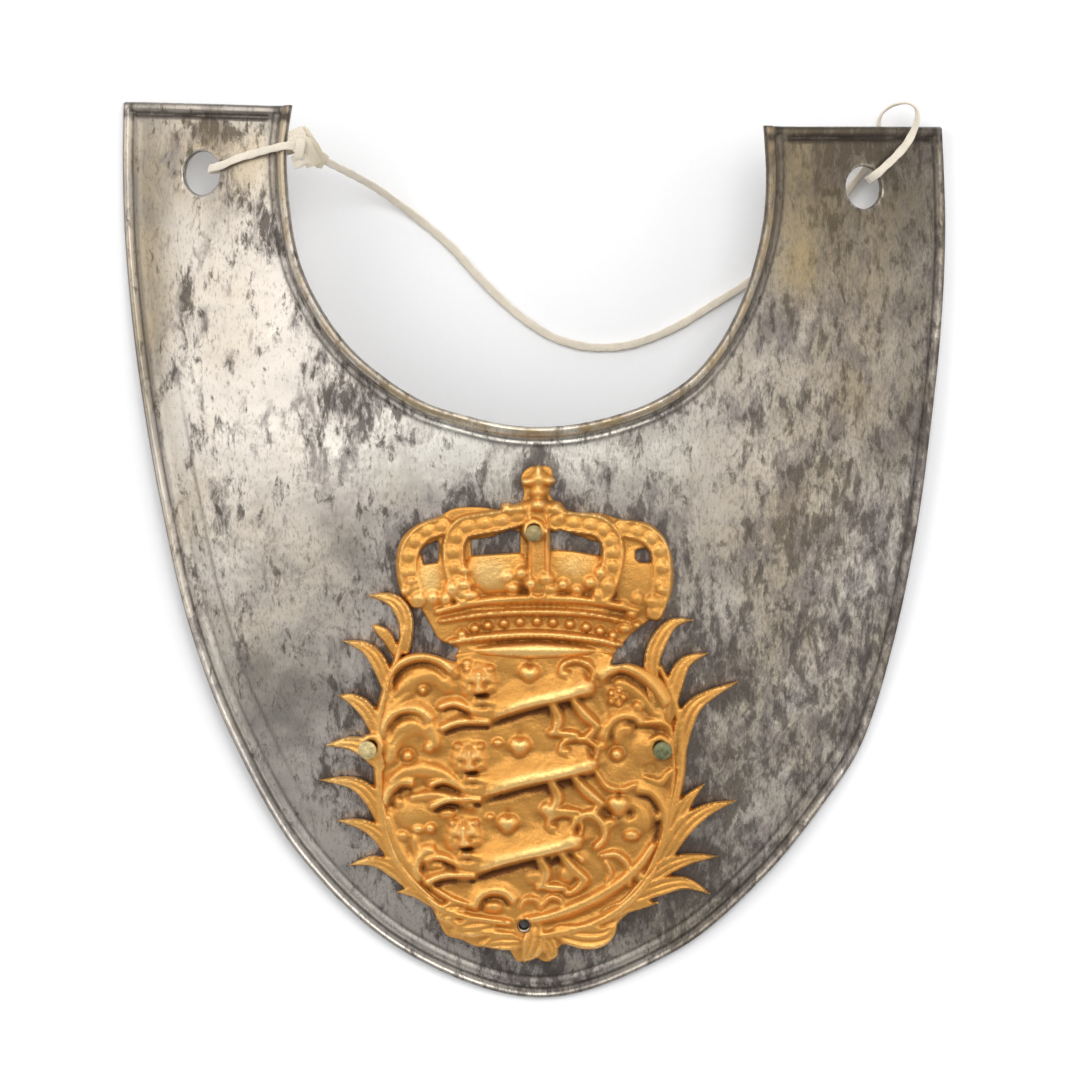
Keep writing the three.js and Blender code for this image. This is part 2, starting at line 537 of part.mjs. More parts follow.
// A bar raised on the plate along a line: a row of sections, flat-backed, or troughed on a leaf.
// A leaf narrows to its tip, any other bar to both ends.
function raisedBar({ path, width, height }, floor, leaf = false) {
  const line = new THREE.SplineCurve(path.map(([x, y]) => new THREE.Vector2(x, y)));
  const wanted = Math.round(line.getLength() / BAR.step);
  const count = leaf ? BAR.leafSteps : Math.min(BAR.mostSteps, Math.max(2, wanted));
  const sideways = leaf ? [1, 0.7, 0, -0.7, -1] : [1, 0.5, -0.5, -1];
  const upward = leaf ? [0, 1, 0.7, 1, 0] : [0, 1, 1, 0];
  const corners = sideways.length;
  const points = [];
  for (let i = 0; i <= count; i += 1) {
    const t = i / count;
    const spot = line.getPoint(t);
    const ahead = line.getTangent(t);
    const middle = Math.sin(Math.PI * t);
    const fullness = leaf ? Math.max(0.14, Math.sin(Math.PI * (0.2 + 0.8 * t))) : 0.6 + 0.4 * middle;
    const depth = (height - floor) * (0.8 + 0.2 * middle);
    for (let k = 0; k < corners; k += 1) {
      const reach = sideways[k] * fullness * (width / 2);
      points.push(onFace(spot.x - ahead.y * reach, spot.y + ahead.x * reach, floor + depth * upward[k]));
    }
  }
  const triangles = [];
  for (let i = 0; i < count; i += 1) {
    for (let k = 0; k < corners; k += 1) {
      const a = i * corners + k;
      const b = i * corners + ((k + 1) % corners);
      triangles.push(a, b, b + corners, a, b + corners, a + corners);
    }
  }
  const last = count * corners;
  for (let k = 1; k < corners - 1; k += 1) {
    triangles.push(0, k + 1, k, last, last + k, last + k + 1);
  }
  return solidOf(geometryFrom(points, triangles));
}

// A low dome on an oval foot: a ring at the foot, a smaller ring higher up and a flat top
function swelling([x, y, halfX, halfY, height], floor, sides) {
  const points = [];
  const triangles = [];
  for (const { reach, rise } of [{ reach: 1, rise: floor }, { reach: DOME.topShare, rise: height }]) {
    for (let k = 0; k < sides; k += 1) {
      const turn = (2 * Math.PI * k) / sides;
      points.push(onFace(x + halfX * reach * Math.cos(turn), y + halfY * reach * Math.sin(turn), rise));
    }
  }
  for (let k = 0; k < sides; k += 1) {
    const next = (k + 1) % sides;
    triangles.push(k, next, next + sides, k, next + sides, k + sides);
  }
  for (let k = 1; k < sides - 1; k += 1) triangles.push(0, k + 1, k, sides, sides + k, sides + k + 1);
  return solidOf(geometryFrom(points, triangles));
}

// An upright block of an outline, tall enough to cut or keep everything over the plate
function uprightBlock(outline) {
  const shape = new THREE.Shape(outline.map(([x, y]) => new THREE.Vector2(x, y)));
  const block = new THREE.ExtrudeGeometry(shape, { depth: 70, bevelEnabled: false });
  block.translate(0, 0, -15);
  return solidOf(block);
}

// The mount's thin ground, curved as the plate is
function mountGround() {
  const low = { x: -34, y: -86 };
  const span = { x: 66, y: 106 };
  const columns = 5;
  const rows = 7;
  const at = (i, j) => [low.x + (span.x * i) / columns, low.y + span.y * (1 - j / rows)];
  const slab = solidOf(closedSheet(
    columns,
    rows,
    (i, j) => onFace(...at(i, j), MOUNT.gap + MOUNT.ground),
    (i, j) => onFace(...at(i, j), MOUNT.gap + 0.1),
  ));
  const { crown, shield } = GROUND_OUTLINES;
  return slab.intersect(uprightBlock(crown).add(uprightBlock(shield)));
}

function beastSolids([faceX, faceY, stretch], floor) {
  const placed = ([x, y]) => [faceX + x * (x > 0 ? stretch : 1), faceY + y];
  const bars = BEAST_BARS.map((bar) => raisedBar({ ...bar, path: bar.path.map(placed) }, floor));
  const rounds = BEAST_SWELLINGS.map(([x, y, ...sizes]) => swelling([...placed([x, y]), ...sizes], floor, 7));
  return [...bars, ...rounds];
}

function buildMount() {
  const floor = MOUNT.gap + MOUNT.root;
  const solids = [mountGround()];
  for (const leaf of LEAVES) solids.push(raisedBar(leaf, MOUNT.gap, true));
  for (const stem of STEMS) solids.push(raisedBar(stem, MOUNT.gap));
  for (const bar of [...SCROLLS, ...RIBS, ...ARCHES, ...CROWN_BARS]) solids.push(raisedBar(bar, floor));
  for (const dome of SWELLINGS) solids.push(swelling(dome, floor, 8));
  for (const [x, y, radius, height] of STUDS) solids.push(swelling([x, y, radius, radius, height], floor, 5));
  for (const [x, y] of FLEURONS.places) {
    solids.push(swelling([x, y, FLEURONS.halfX, FLEURONS.halfY, FLEURONS.height], floor, 6));
  }
  for (const [x, y] of HEARTS.places) {
    const path = [[x, y + HEARTS.size / 2], [x, y - HEARTS.size / 2]];
    solids.push(raisedBar({ path, width: HEARTS.size, height: HEARTS.height }, floor, true));
  }
  for (const beast of BEASTS) solids.push(...beastSolids(beast, floor));
  for (const pin of Object.values(PINS)) {
    const pad = new THREE.CylinderGeometry(pin.headRadius + 0.2, pin.headRadius + 0.5, pin.pad - floor, 10);
    pad.rotateX(Math.PI / 2);
    pad.translate(0, 0, (pin.pad + floor) / 2);
    solids.push(solidOf(seatedOnFace(pad, pin.x, pin.y)));
  }
  let mount = wasm.Manifold.union(solids);
  for (const gap of PIERCED_GAPS) mount = mount.subtract(uprightBlock(gap));
  for (const pin of Object.values(PINS)) mount = mount.subtract(borer(pin.x, pin.y, PIN.bore, 8));
  mount = mount.subtract(borer(EMPTY_PIN_HOLE.x, EMPTY_PIN_HOLE.y, EMPTY_PIN_HOLE.radius, 10));
  return namedMesh('gilt_mount', geometryOf(mount), gilt);
}

// A pin through the mount and the plate: a low round head, a shank and a flat tail behind
function buildPin(name, { x, y, headRadius, pad }) {
  const seat = pad + PIN.clear;
  const back = -PLATE.thickness - PIN.clear;
  const profile = [
    [0, back - PIN.tailRise],
    [PIN.tailRadius, back - PIN.tailRise],
    [PIN.tailRadius, back],
    [PIN.shank, back],
    [PIN.shank, seat],
    [headRadius, seat],
    [headRadius * 0.75, seat + PIN.headRise * 0.7],
    [0, seat + PIN.headRise],
  ].map(([radius, height]) => new THREE.Vector2(radius, height));
  const turned = new THREE.LatheGeometry(profile, 10);
  turned.rotateX(Math.PI / 2);
  return namedMesh(name, geometryOf(solidOf(seatedOnFace(turned, x, y))), pinMetal);
}

function buildTape(name, { steps, line }) {
  const points = line.map((point) => new THREE.Vector3(...point));
  const route = new THREE.CatmullRomCurve3(points, false, 'catmullrom', 0.5);
  const section = new THREE.Shape();
  const sides = 8;
  for (let k = 0; k < sides; k += 1) {
    const turn = (2 * Math.PI * k) / sides;
    const corner = [(TAPE.width / 2) * Math.cos(turn), (TAPE.width / 2) * Math.sin(turn)];
    if (k === 0) section.moveTo(...corner);
    else section.lineTo(...corner);
  }
  section.closePath();
  const tube = new THREE.ExtrudeGeometry(section, { steps, extrudePath: route, bevelEnabled: false });
  return namedMesh(name, tube, cotton);
}

function buildKnot(name, { middle, half }) {
  const knot = new THREE.SphereGeometry(1, 9, 6);
  knot.scale(...half);
  knot.translate(...middle);
  return namedMesh(name, knot, cotton);
}

const gorget = new THREE.Group();
gorget.add(buildPlate());
gorget.add(buildMount());
for (const [name, pin] of Object.entries(PINS)) gorget.add(buildPin(name, pin));
for (const [name, tape] of Object.entries(TAPE_LINES)) gorget.add(buildTape(name, tape));
for (const [name, knot] of Object.entries(TAPE_KNOTS)) gorget.add(buildKnot(name, knot));

export default gorget;
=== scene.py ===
import math

import bpy
import numpy as np
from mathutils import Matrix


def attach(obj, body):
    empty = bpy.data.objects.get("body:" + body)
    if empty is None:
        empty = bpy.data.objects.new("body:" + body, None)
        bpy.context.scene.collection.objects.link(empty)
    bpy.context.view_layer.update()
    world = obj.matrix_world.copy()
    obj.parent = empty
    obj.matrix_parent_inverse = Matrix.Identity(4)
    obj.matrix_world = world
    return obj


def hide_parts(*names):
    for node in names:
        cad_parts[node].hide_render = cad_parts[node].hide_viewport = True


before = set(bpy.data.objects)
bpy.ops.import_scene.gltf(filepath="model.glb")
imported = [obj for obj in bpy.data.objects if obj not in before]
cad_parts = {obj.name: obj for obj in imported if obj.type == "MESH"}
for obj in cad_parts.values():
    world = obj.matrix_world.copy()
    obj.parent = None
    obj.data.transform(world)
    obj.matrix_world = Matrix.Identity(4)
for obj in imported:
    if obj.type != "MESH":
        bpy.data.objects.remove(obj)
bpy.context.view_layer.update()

bl_info = {
    "name": "Gorget with a gilt mount",
    "version": (1, 0, 0),
    "blender": (4, 5, 0),
    "location": "View3D > Sidebar > Gorget",
    "description": "Builds a silvered neck plate with its gilt casting, pins and tie tape",
    "category": "Add Mesh",
}

# Lengths in the tables are millimetres, as in the part's source, and a mesh is made in metres
MM = 0.001

# The plate's sheet and the two curves of its front: round across, and gently round lengthwise
THICKNESS = 1.2
FACE = {
    "crown": 33.34,
    "across": 127.0,
    "along": 341.0,
    "highest_y": 58.0,
    "lean_x": 0.0007,
    "lean_y": -0.0007,
}

# The straight cut across the end of each arm: neck corner x and y, outer corner x and y
ARM_ENDS = {"left": (-47.5, 88.8, -82.8, 90.5), "right": (45.7, 84.7, 82.1, 85.4)}

# Near the neck the sheet bends up, most on the arms
FLARE = {"rise": 1.0, "arm_rise": 2.2, "width": 5.0, "left_width": 6.5, "right_width": 10.5}

TIE_HOLES = ((-66.9, 75.7, 4.4), (66.4, 72.8, 4.3))
PINS = {
    # x, y, head radius, height of the pad under the head
    "rivet_left": (-32.6, -39.2, 1.9, 3.1),
    "rivet_right": (25.2, -39.4, 1.9, 2.8),
    "rivet_crown": (0.0, 4.0, 1.7, 4.2),
}
PIN = {"shank": 0.6, "bore": 0.95, "clear": 0.12, "rise": 0.9, "tail_radius": 1.3, "tail_rise": 0.6}
EMPTY_PIN_HOLE = (-2.0, -75.6, 1.25)

# How much paler or darker each pin is in red, green and blue
PIN_TINTS = {
    "rivet_left": (2.8, 2.4, 1.8),
    "rivet_right": (0.85, 0.95, 0.7),
    "rivet_crown": (1.5, 1.25, 0.85),
}

# The casting's heights over the plate's front: its back, where its forms start, the root of raised work and
# the top of its flat ground
CAST_GAP = 0.35
CAST_BACK = CAST_GAP + 0.1
CAST_START = CAST_GAP + 0.3
CAST_ROOT = CAST_GAP + 0.4
CAST_GROUND = CAST_GAP + 0.9

# How many corners the holes have that are bored through the plate
TIE_HOLE_CORNERS = 48
PIN_HOLE_CORNERS = 16

# The view, straight down from a little off the middle: place in metres, lens and film in millimetres
CAMERA = {"place": (0.00121, 0.00202, 2.5), "lens": 412.7, "film": 36.0, "far": 20.0}

# The lamps, which all face the middle: place and side in metres, power in watts
LAMPS = {
    "window": ((-1.9, 0.45, 1.5), 2.3, 31.0),
    "overhead": ((0.35, 0.9, 2.8), 1.5, 37.0),
    "fill": ((2.0, -0.2, 1.5), 2.2, 17.0),
    "low": ((0.2, 2.4, 0.6), 1.6, 16.0),
}
ROOM = {"colour": (0.96, 0.97, 1.0, 1), "strength": 0.46, "floor_reach": 3.0}

# The casting's outlines, leaves and arches, and the lines from which the plate is spread
LEAVES = (
    # width, height, line from root to tip
    (3.4, 2.8, ((-25.8, -20), (-25.6, -14.4), (-27.2, -10.8), (-30, -9.4), (-33.4, -9.2))),
    (2.4, 2.2, ((-27.6, -21), (-29.2, -17.6), (-31.2, -15.8), (-32.4, -15))),
    (3.4, 2.6, ((-28.8, -29), (-30.8, -23), (-33.6, -19.6), (-38.2, -18.2))),
    (3.4, 2.4, ((-30.4, -39), (-33.2, -32.6), (-36.2, -30), (-39.2, -29.2))),
    (4, 2.8, ((-30.8, -43.4), (-33, -40.4), (-36.6, -38.8), (-41.6, -39.2))),
    (3.6, 2.4, ((-29.8, -56), (-32.4, -50), (-36.4, -46.8), (-43, -46.2))),
    (3.2, 2.4, ((-27.8, -63), (-30.8, -57.6), (-34.4, -55.2), (-39.4, -54.4))),
    (3.2, 2.2, ((-23.8, -68.6), (-27.8, -64.6), (-32, -62.6), (-37, -63.4))),
    (2.6, 2, ((-19.6, -71.6), (-23.2, -69), (-27.6, -68.8))),
    (3.6, 2.8, ((23.8, -30), (23.6, -22.4), (25.4, -17.4), (28, -14.6), (31.8, -14))),
    (3.6, 2.6, ((26.6, -35), (28, -27.4), (30.2, -22.6), (34.8, -20.6))),
    (4, 2.8, ((28.6, -43), (30, -35.2), (33, -30.4), (40.8, -26.4))),
    (3.4, 2.4, ((26.4, -62), (28.4, -55.2), (30.8, -50.4), (34.2, -47))),
    (3.8, 2.6, ((25, -64), (29.6, -56.4), (34.4, -52.4), (40.4, -50.4))),
    (3.4, 2.4, ((20.6, -68.6), (25.6, -64.4), (30.8, -62.2), (37, -61.6))),
    (3.6, 2.4, ((18, -71), (24.2, -68.2), (30.2, -67), (35.4, -69.2))),
    (3.2, 2.2, ((13, -74), (18.2, -71.8), (25, -71))),
)
STEMS = (
    # width, height, line from root to tip
    (2.2, 2.6, ((-20, -70.8), (-25.2, -65.6), (-28.4, -61), (-30.2, -55), (-31, -48), (-31.2, -41),
        (-30.8, -33), (-29.2, -27), (-27.2, -21), (-25.8, -15.6))),
    (2.2, 2.6, ((17.2, -71.6), (22.2, -66), (25.2, -60), (27.6, -53), (29.2, -46), (29.6, -40), (29.2, -34),
        (27.6, -29), (25.4, -23.6))),
)
ARCHES = (
    # width, height, line from root to tip
    (4.2, 3.6, ((-3, 6.8), (-6.8, 5.8), (-10.8, 5.2), (-14.4, 4.2), (-16, 1), (-16, -2.4), (-15.2, -6),
        (-14.4, -8.6))),
    (4.2, 3.6, ((4.4, 5.8), (9.2, 5.4), (13.2, 4.6), (15.4, 2), (15.8, -1.2), (15.2, -5), (14, -8.4))),
    (3.6, 3, ((-18.2, 4.8), (-21.8, 3.6), (-24.4, 0.8), (-25.2, -3), (-24.6, -7), (-23.4, -10))),
    (3.6, 3, ((17.4, 4.4), (22, 3.4), (24.8, 0.6), (25.6, -4), (25.2, -9), (24.2, -12.4))),
    (3.8, 3.9, ((0.8, 7.4), (1, 3), (1, -4), (0.8, -8))),
)
CROWN_OUTLINE = (
    # corner x, y
    (-18.8, -18), (-20.4, -15.6), (-22.8, -11.6), (-25.8, -10), (-27.2, -6.4), (-27.6, -2), (-26.4, 2.4),
    (-23.2, 5.2), (-18.8, 6.8), (-15.8, 8.4), (-10.8, 8.6), (-5.8, 8), (-3.2, 9), (-2, 11.2), (-2.6, 14.4),
    (-0.8, 16.6), (3.2, 16.6), (3.8, 14), (3.2, 11.2), (5.2, 9), (8.2, 7.6), (13.2, 7.4), (17.2, 6.2),
    (22.2, 5.6), (25.6, 3.2), (27.6, -1.2), (27.8, -7), (26.4, -11.2), (23.6, -13.6), (19.6, -16.8),
    (16.8, -19.6), (13.2, -21.2), (-12.8, -21.2), (-15.2, -19.6),
)
SHIELD_OUTLINE = (
    # corner x, y
    (-13.2, -20.2), (-15.6, -22.2), (-18.8, -21.2), (-22.8, -20.4), (-26.4, -21.4), (-28.8, -24),
    (-30.2, -29), (-31, -36), (-30.8, -45), (-30.4, -52), (-29.2, -59), (-26.4, -65), (-21.8, -70),
    (-19.2, -75), (-17.6, -77.6), (-14.4, -78.6), (-11.2, -80), (-5.8, -80), (-3.2, -83), (-0.4, -82),
    (3.2, -83), (5.6, -79.6), (10.2, -80), (14.2, -79), (17, -75), (21.2, -71), (24.2, -66), (26, -60),
    (27.6, -53), (29.2, -46), (29.8, -39), (29.2, -33), (27.6, -28), (25.2, -25.2), (22.2, -23.6),
    (19.2, -22.6), (15.6, -22.8), (13.6, -20.2),
)
PIERCED_GAPS = (
    # corners x, y of each gap
    ((-12.6, 2), (-8.4, 2.6), (-4.4, 4.2), (-2.8, 3.4), (-2.8, -0.4), (-12.4, -1)),
    ((-22.6, -0.4), (-21.6, 0.8), (-19.2, 2), (-19, 0.4), (-19.2, -2.4), (-22, -2.8)),
    ((3.4, 3.4), (5.2, 4), (13.2, 1.4), (13.2, -1), (7.2, 0), (3.6, 0.2)),
    ((20.4, 0), (22.2, 0.4), (23.2, -0.6), (23.2, -2.4), (21.2, -2.4), (20.4, -1.6)),
)
STATIONS = (
    # neck x, neck y, edge x, edge y
    (-47.3, 91.4, -82.8, 93), (-48.9, 80.5, -83, 77), (-48.4, 68.5, -82.4, 61), (-46.4, 57.5, -80.8, 44),
    (-42.3, 48.5, -78.6, 28), (-36.6, 40.6, -75.1, 8.5), (-29.4, 34.3, -69.8, -14.5),
    (-21.6, 29.5, -61.2, -37.5), (-14, 27, -47.2, -61.8), (-6.4, 25.2, -26.2, -81.1),
    (1, 24.6, 1.2, -90.4), (8.6, 25.2, 27.6, -81.5), (16.4, 27, 46, -66.4), (24, 29.9, 59.4, -49.9),
    (31.2, 34.6, 66.8, -37.6), (37, 41.6, 72.6, -18.5), (41.2, 49.8, 77.2, 4), (44, 58.4, 80.2, 26.2),
    (45.6, 67.2, 82.2, 46), (45.9, 76.5, 83, 66), (45.1, 87.5, 82.2, 88),
)

# The lines of the tape's three stretches
TAPE_LEFT_LOOP = (
    # x, y, z
    (-47.6, 80.8, 25.4), (-48.7, 80.8, 26.4), (-50.2, 80.7, 26.7), (-52.2, 80.3, 24.9),
    (-55.4, 79.6, 21.6), (-59.6, 78.4, 19.2), (-62.2, 77.3, 17.8), (-64, 76.8, 16.9), (-65.1, 76.5, 15.2),
    (-65, 76.3, 13.2), (-63.8, 76.4, 11.7), (-61.9, 76.8, 11.6), (-59.6, 77.3, 13), (-56, 78.2, 15.9),
    (-52, 79.3, 18.6), (-49.4, 79.9, 20.2), (-47.7, 80.3, 21),
)
TAPE_SPAN = (
    # x, y, z
    (-43.3, 79.1, 22.6), (-41.6, 77.9, 21.2), (-39.6, 76.9, 18.2), (-37.4, 75.9, 14.4),
    (-34.8, 74.6, 10.2), (-31.6, 72.8, 6.2), (-27.8, 70.2, 3), (-22.5, 66.2, 1.1), (-16.5, 61, 0.9),
    (-10.7, 54.6, 0.9), (-4.6, 48.7, 0.9), (1.2, 44.4, 0.9), (5.7, 42.2, 0.9), (11.7, 40.9, 0.9),
    (18.2, 41.2, 0.9), (24, 42.9, 0.9), (30.1, 45.8, 0.9), (36.1, 49.5, 0.9), (42.6, 53.6, 0.9),
    (49, 58.4, 0.9), (55.4, 64, 0.9), (61.4, 70.2, 0.9), (66.2, 76, 1.1), (69.6, 80.3, 1.7),
)
TAPE_RIGHT_LOOP = (
    # x, y, z
    (69.9, 84.1, 3.2), (69.5, 86.2, 3.8), (70.4, 88.2, 4.9), (72.4, 89.6, 6.4), (75, 90, 7.9),
    (76.8, 88.9, 8.9), (77.1, 86.9, 9.1), (76.5, 84.6, 8.9), (75, 81.8, 9.7), (72.7, 79.1, 11.4),
    (70.7, 77.2, 12.9), (69.2, 75.8, 13.7), (67.7, 74.7, 12.9), (67.1, 74.3, 11.1), (67.7, 74.7, 9.2),
    (69, 75.9, 7.6), (70.2, 77.3, 6.2), (70.9, 78.9, 4.9), (71.1, 80.4, 3.9),
)

# Marks on the plate
DARK_SPOTS = (
    # x, y, reach across, reach up, strength
    (63.2, 79, 6.5, 2.4, 0.75), (71.2, 74.6, 2.6, 1.6, 0.6), (59.9, 65.9, 2.7, 1.7, 0.8),
    (62, 84, 14, 1.2, 0.6), (-48.6, 86.2, 1.4, 2.6, 0.7), (1.2, 19, 5.5, 2, 0.8),
    (-64.8, 83.4, 7.5, 3.6, 1.5), (-69.5, 52.5, 2.4, 5, 1.1), (-66, 46, 1.6, 3, 0.8),
    (-55.2, 63, 5.6, 8.5, 0.55), (-66.9, 75.7, 6.2, 6.2, 0.9), (-46.6, 44.7, 3.6, 5, 0.7),
    (-37, 27.5, 8.5, 5, 1.05), (-43, 34, 3, 4, 0.8), (-61.6, 38.8, 1.5, 1.7, 0.8),
    (-53.9, 40.2, 1.4, 1.7, 0.7), (-67.5, 23, 1.8, 3, 0.9), (-72, 35.6, 1.6, 4, 0.6),
    (-24, 22, 6, 1.8, 0.6), (-15, 9, 5, 4, 0.6), (-62, 8, 2, 6, 0.5), (-30, 4, 4, 6, 0.5),
    (78.5, 40, 2.5, 14, 0.3), (56.6, 71, 0.7, 7, 0.75), (61, 74, 5, 7, 0.25), (72, 78, 3, 4, 0.5),
    (-52.5, -40, 8, 5, 0.18), (46, -58, 9, 6, 0.25), (2, -86, 16, 2.4, 0.4),
)
WARM_SPOTS = (
    # x, y, reach across, reach up, strength
    (-64, 80, 16, 10, 0.9), (-78, 50, 5, 30, 0.6), (52.7, 57, 3.8, 5.5, 1.6), (52, 70, 5, 14, 1.3),
    (-62, 48, 7, 12, 0.4), (-48, -8, 12, 16, 0.35), (44, 6, 14, 18, 0.4), (-12, 33, 14, 3, 0.4),
    (66, 30, 8, 12, 0.35), (65, 62, 12, 24, 0.35), (-70, 8, 5, 12, 0.3), (-28, 12, 5, 5, 0.3),
)
DENTS = (
    # x, y, reach across, reach up, height
    (-60, 20, 12, 18, -0.14), (48, 10, 14, 10, 0.12), (-30, -62, 10, 8, -0.12), (30, -70, 12, 6, 0.1),
    (64, 55, 8, 12, -0.12), (-64, 62, 7, 10, 0.1), (-45, -30, 9, 6, -0.1), (38, -20, 5, 9, -0.08),
    (-36, 18, 6, 7, 0.08), (56, -24, 6, 8, 0.09), (-72, 36, 5, 9, -0.09), (-58, -20, 5, 5, 0.07),
)

# Extra leaves low on the shield
LOW_LEAVES = (
    # width, height, line from root to tip
    (4, 2.9, ((-8.8, -75.6), (-12.8, -76), (-16.4, -77))),
    (3.6, 2.8, ((-14.8, -72), (-17.8, -73), (-19.6, -74.4))),
    (3.4, 2.6, ((-2.8, -79), (-6.8, -79), (-10.8, -79.6))),
    (4.5, 2.8, ((0.2, -76), (-0.2, -80), (-2, -83))),
    (3, 2.6, ((2.2, -78), (3.6, -81), (2.8, -82.4))),
    (5, 2.8, ((5.2, -77), (10.2, -78), (14.2, -77.6), (16.8, -75))),
)

# The tape's knots: middle, then strands of width share, sideways directions and line about the middle
KNOTS = {
    "tape_left_knot": ((-45.9, 80.4, 23.2), (
        (2, ((0.2, 1, 0), (0.3, 0.9, 0.2), (0.5, 0.8, 0.2), (0.7, 0.7, 0.1)),
         ((-2.6, -0.2, 2.2), (-1.4, 1, 2.5), (0.4, 0.6, 2.3), (2.2, -1.4, 1.4), (3.8, -2.9, 0.2))),
        (2, ((0.9, 0.4, 0.1), (0.8, 0.5, 0.3), (0.8, 0.6, 0.2)),
         ((-2, 3.7, 0.9), (-1.4, 2.4, 1.8), (-0.2, 0.6, 2.2), (1.2, -1.6, 1.9), (2, -3.4, 1))),
        (1.7, ((0.8, 0.6, 0.2), (0.7, 0.7, 0.2), (0.8, 0.6, 0.1)),
         ((-0.9, 3.4, 0.5), (0.3, 2.2, 1.2), (1.4, 0.5, 1.3), (2.6, -1.4, 0.7), (3.6, -2.6, -0.3))),
        (1.6, ((0.1, 1, 0.2), (0.2, 1, 0.1), (0.3, 0.9, 0.2)),
         ((-2.2, -3, 1.2), (-1.2, -2.6, 1.7), (0.6, -2.1, 1.7), (2.6, -2.4, 1), (3.9, -3.1, -0.1))),
        (1.2, ((1, 0.1, 0), (1, -0.2, 0.2), (0.9, 0.3, -0.1)),
         ((-1.2, -3.2, 0.6), (-1.1, -1.8, 2.4), (-0.8, 0.4, 3), (-0.6, 2.2, 2.4), (-0.4, 3.2, 0.8))),
        (1.4, ((0.5, 0.8, 0.2), (0.2, 0.9, 0.5), (0.6, 0.7, 0)),
         ((-1.6, 0.9, -0.6), (0, 0.6, -1.9), (1.4, -0.4, -1.3), (1.7, -1.2, 0.2), (0.6, -1.9, 1.1))),
    )),
    "tape_right_knot": ((71, 82.2, 2.2), (
        (1.3, ((0.2, 1, 0.1), (0.9, 0.2, 0.4), (0.3, 0.9, -0.2)),
         ((-1.6, 0.2, 0.9), (-0.4, 0.7, 1.7), (0.9, 0.1, 1.6), (1.6, -0.8, 0.6), (0.9, -1, -1))),
        (1.2, ((1, 0.1, 0), (1, -0.2, 0.3), (0.9, 0.3, -0.2)),
         ((-0.4, -1.7, 0.8), (-0.2, -0.6, 1.7), (0, 0.8, 1.5), (0.1, 1.7, 0.2), (0, 1, -1.2))),
        (1.2, ((0.5, 0.8, 0.2), (0.2, 0.9, 0.5), (0.6, 0.7, 0)),
         ((-1.2, 0.8, -1), (0, 0.4, -1.4), (1.1, -0.4, -0.8), (1.3, 0.6, 0.6))),
    )),
}

# The tape's stretches as pieces
TAPES = {
    # line, sideways directions along it, the knot at its far end
    "tape_left_loop": (
        TAPE_LEFT_LOOP,
        ((0.2, 1, 0), (0.2, 1, 0), (0.2, 1, 0.1), (0.2, 1, 0)),
        "tape_left_knot",
    ),
    "tape_span": (
        TAPE_SPAN,
        ((0.6, 0.8, 0), (0.5, 0.7, 0.4), (0.6, 0.8, 0.1), (0.6, 0.7, 0), (0.2, 1, 0), (-0.5, 0.9, 0),
         (-0.6, 0.7, 0.1), (-0.8, 0.6, 0.1)),
        "tape_right_knot",
    ),
    "tape_right_loop": (
        TAPE_RIGHT_LOOP,
        ((0.3, 0.2, 1), (0.2, 0.3, 1), (0.3, -0.2, 0.9), (0.8, -0.4, 0.3), (0.8, -0.5, 0), (0.7, -0.7, 0),
         (0.7, -0.7, 0), (0.8, -0.5, 0)),
        "tape_right_knot",
    ),
}

# The crown
CROWN_PANELS = (
    # x, y, half across, half up, height
    (-7.3, -3.8, 6.4, 5.2, 2.6), (7.6, -3.6, 6.2, 5.2, 2.5), (-20.6, -6, 3.4, 6, 2.2),
    (20.2, -6.4, 4, 7, 2.2),
)
CROWN_BARS = (
    # width, height, line
    (2, 3.4, ((0.9, 10), (0.9, 16.4))),
    (2.4, 3.3, ((-1.8, 13.6), (3.6, 13.8))),
    (3, 3.2, ((-5, 7.8), (0.4, 8.6), (5.6, 7.8))),
    (2.2, 3, ((-19.4, -12.2), (-12.8, -10.6), (-6.8, -9.9), (0.6, -9.6), (8.2, -9.8), (14.2, -10.6),
        (20.8, -12))),
    (1.5, 3, ((-18.8, -14.2), (-10, -12.8), (0.6, -12.4), (10.8, -12.8), (19.2, -14.4))),
    (1.7, 3.2, ((-16.8, -18.4), (-10.8, -17.4), (0.6, -16.8), (12.2, -17.8), (17.4, -19))),
)
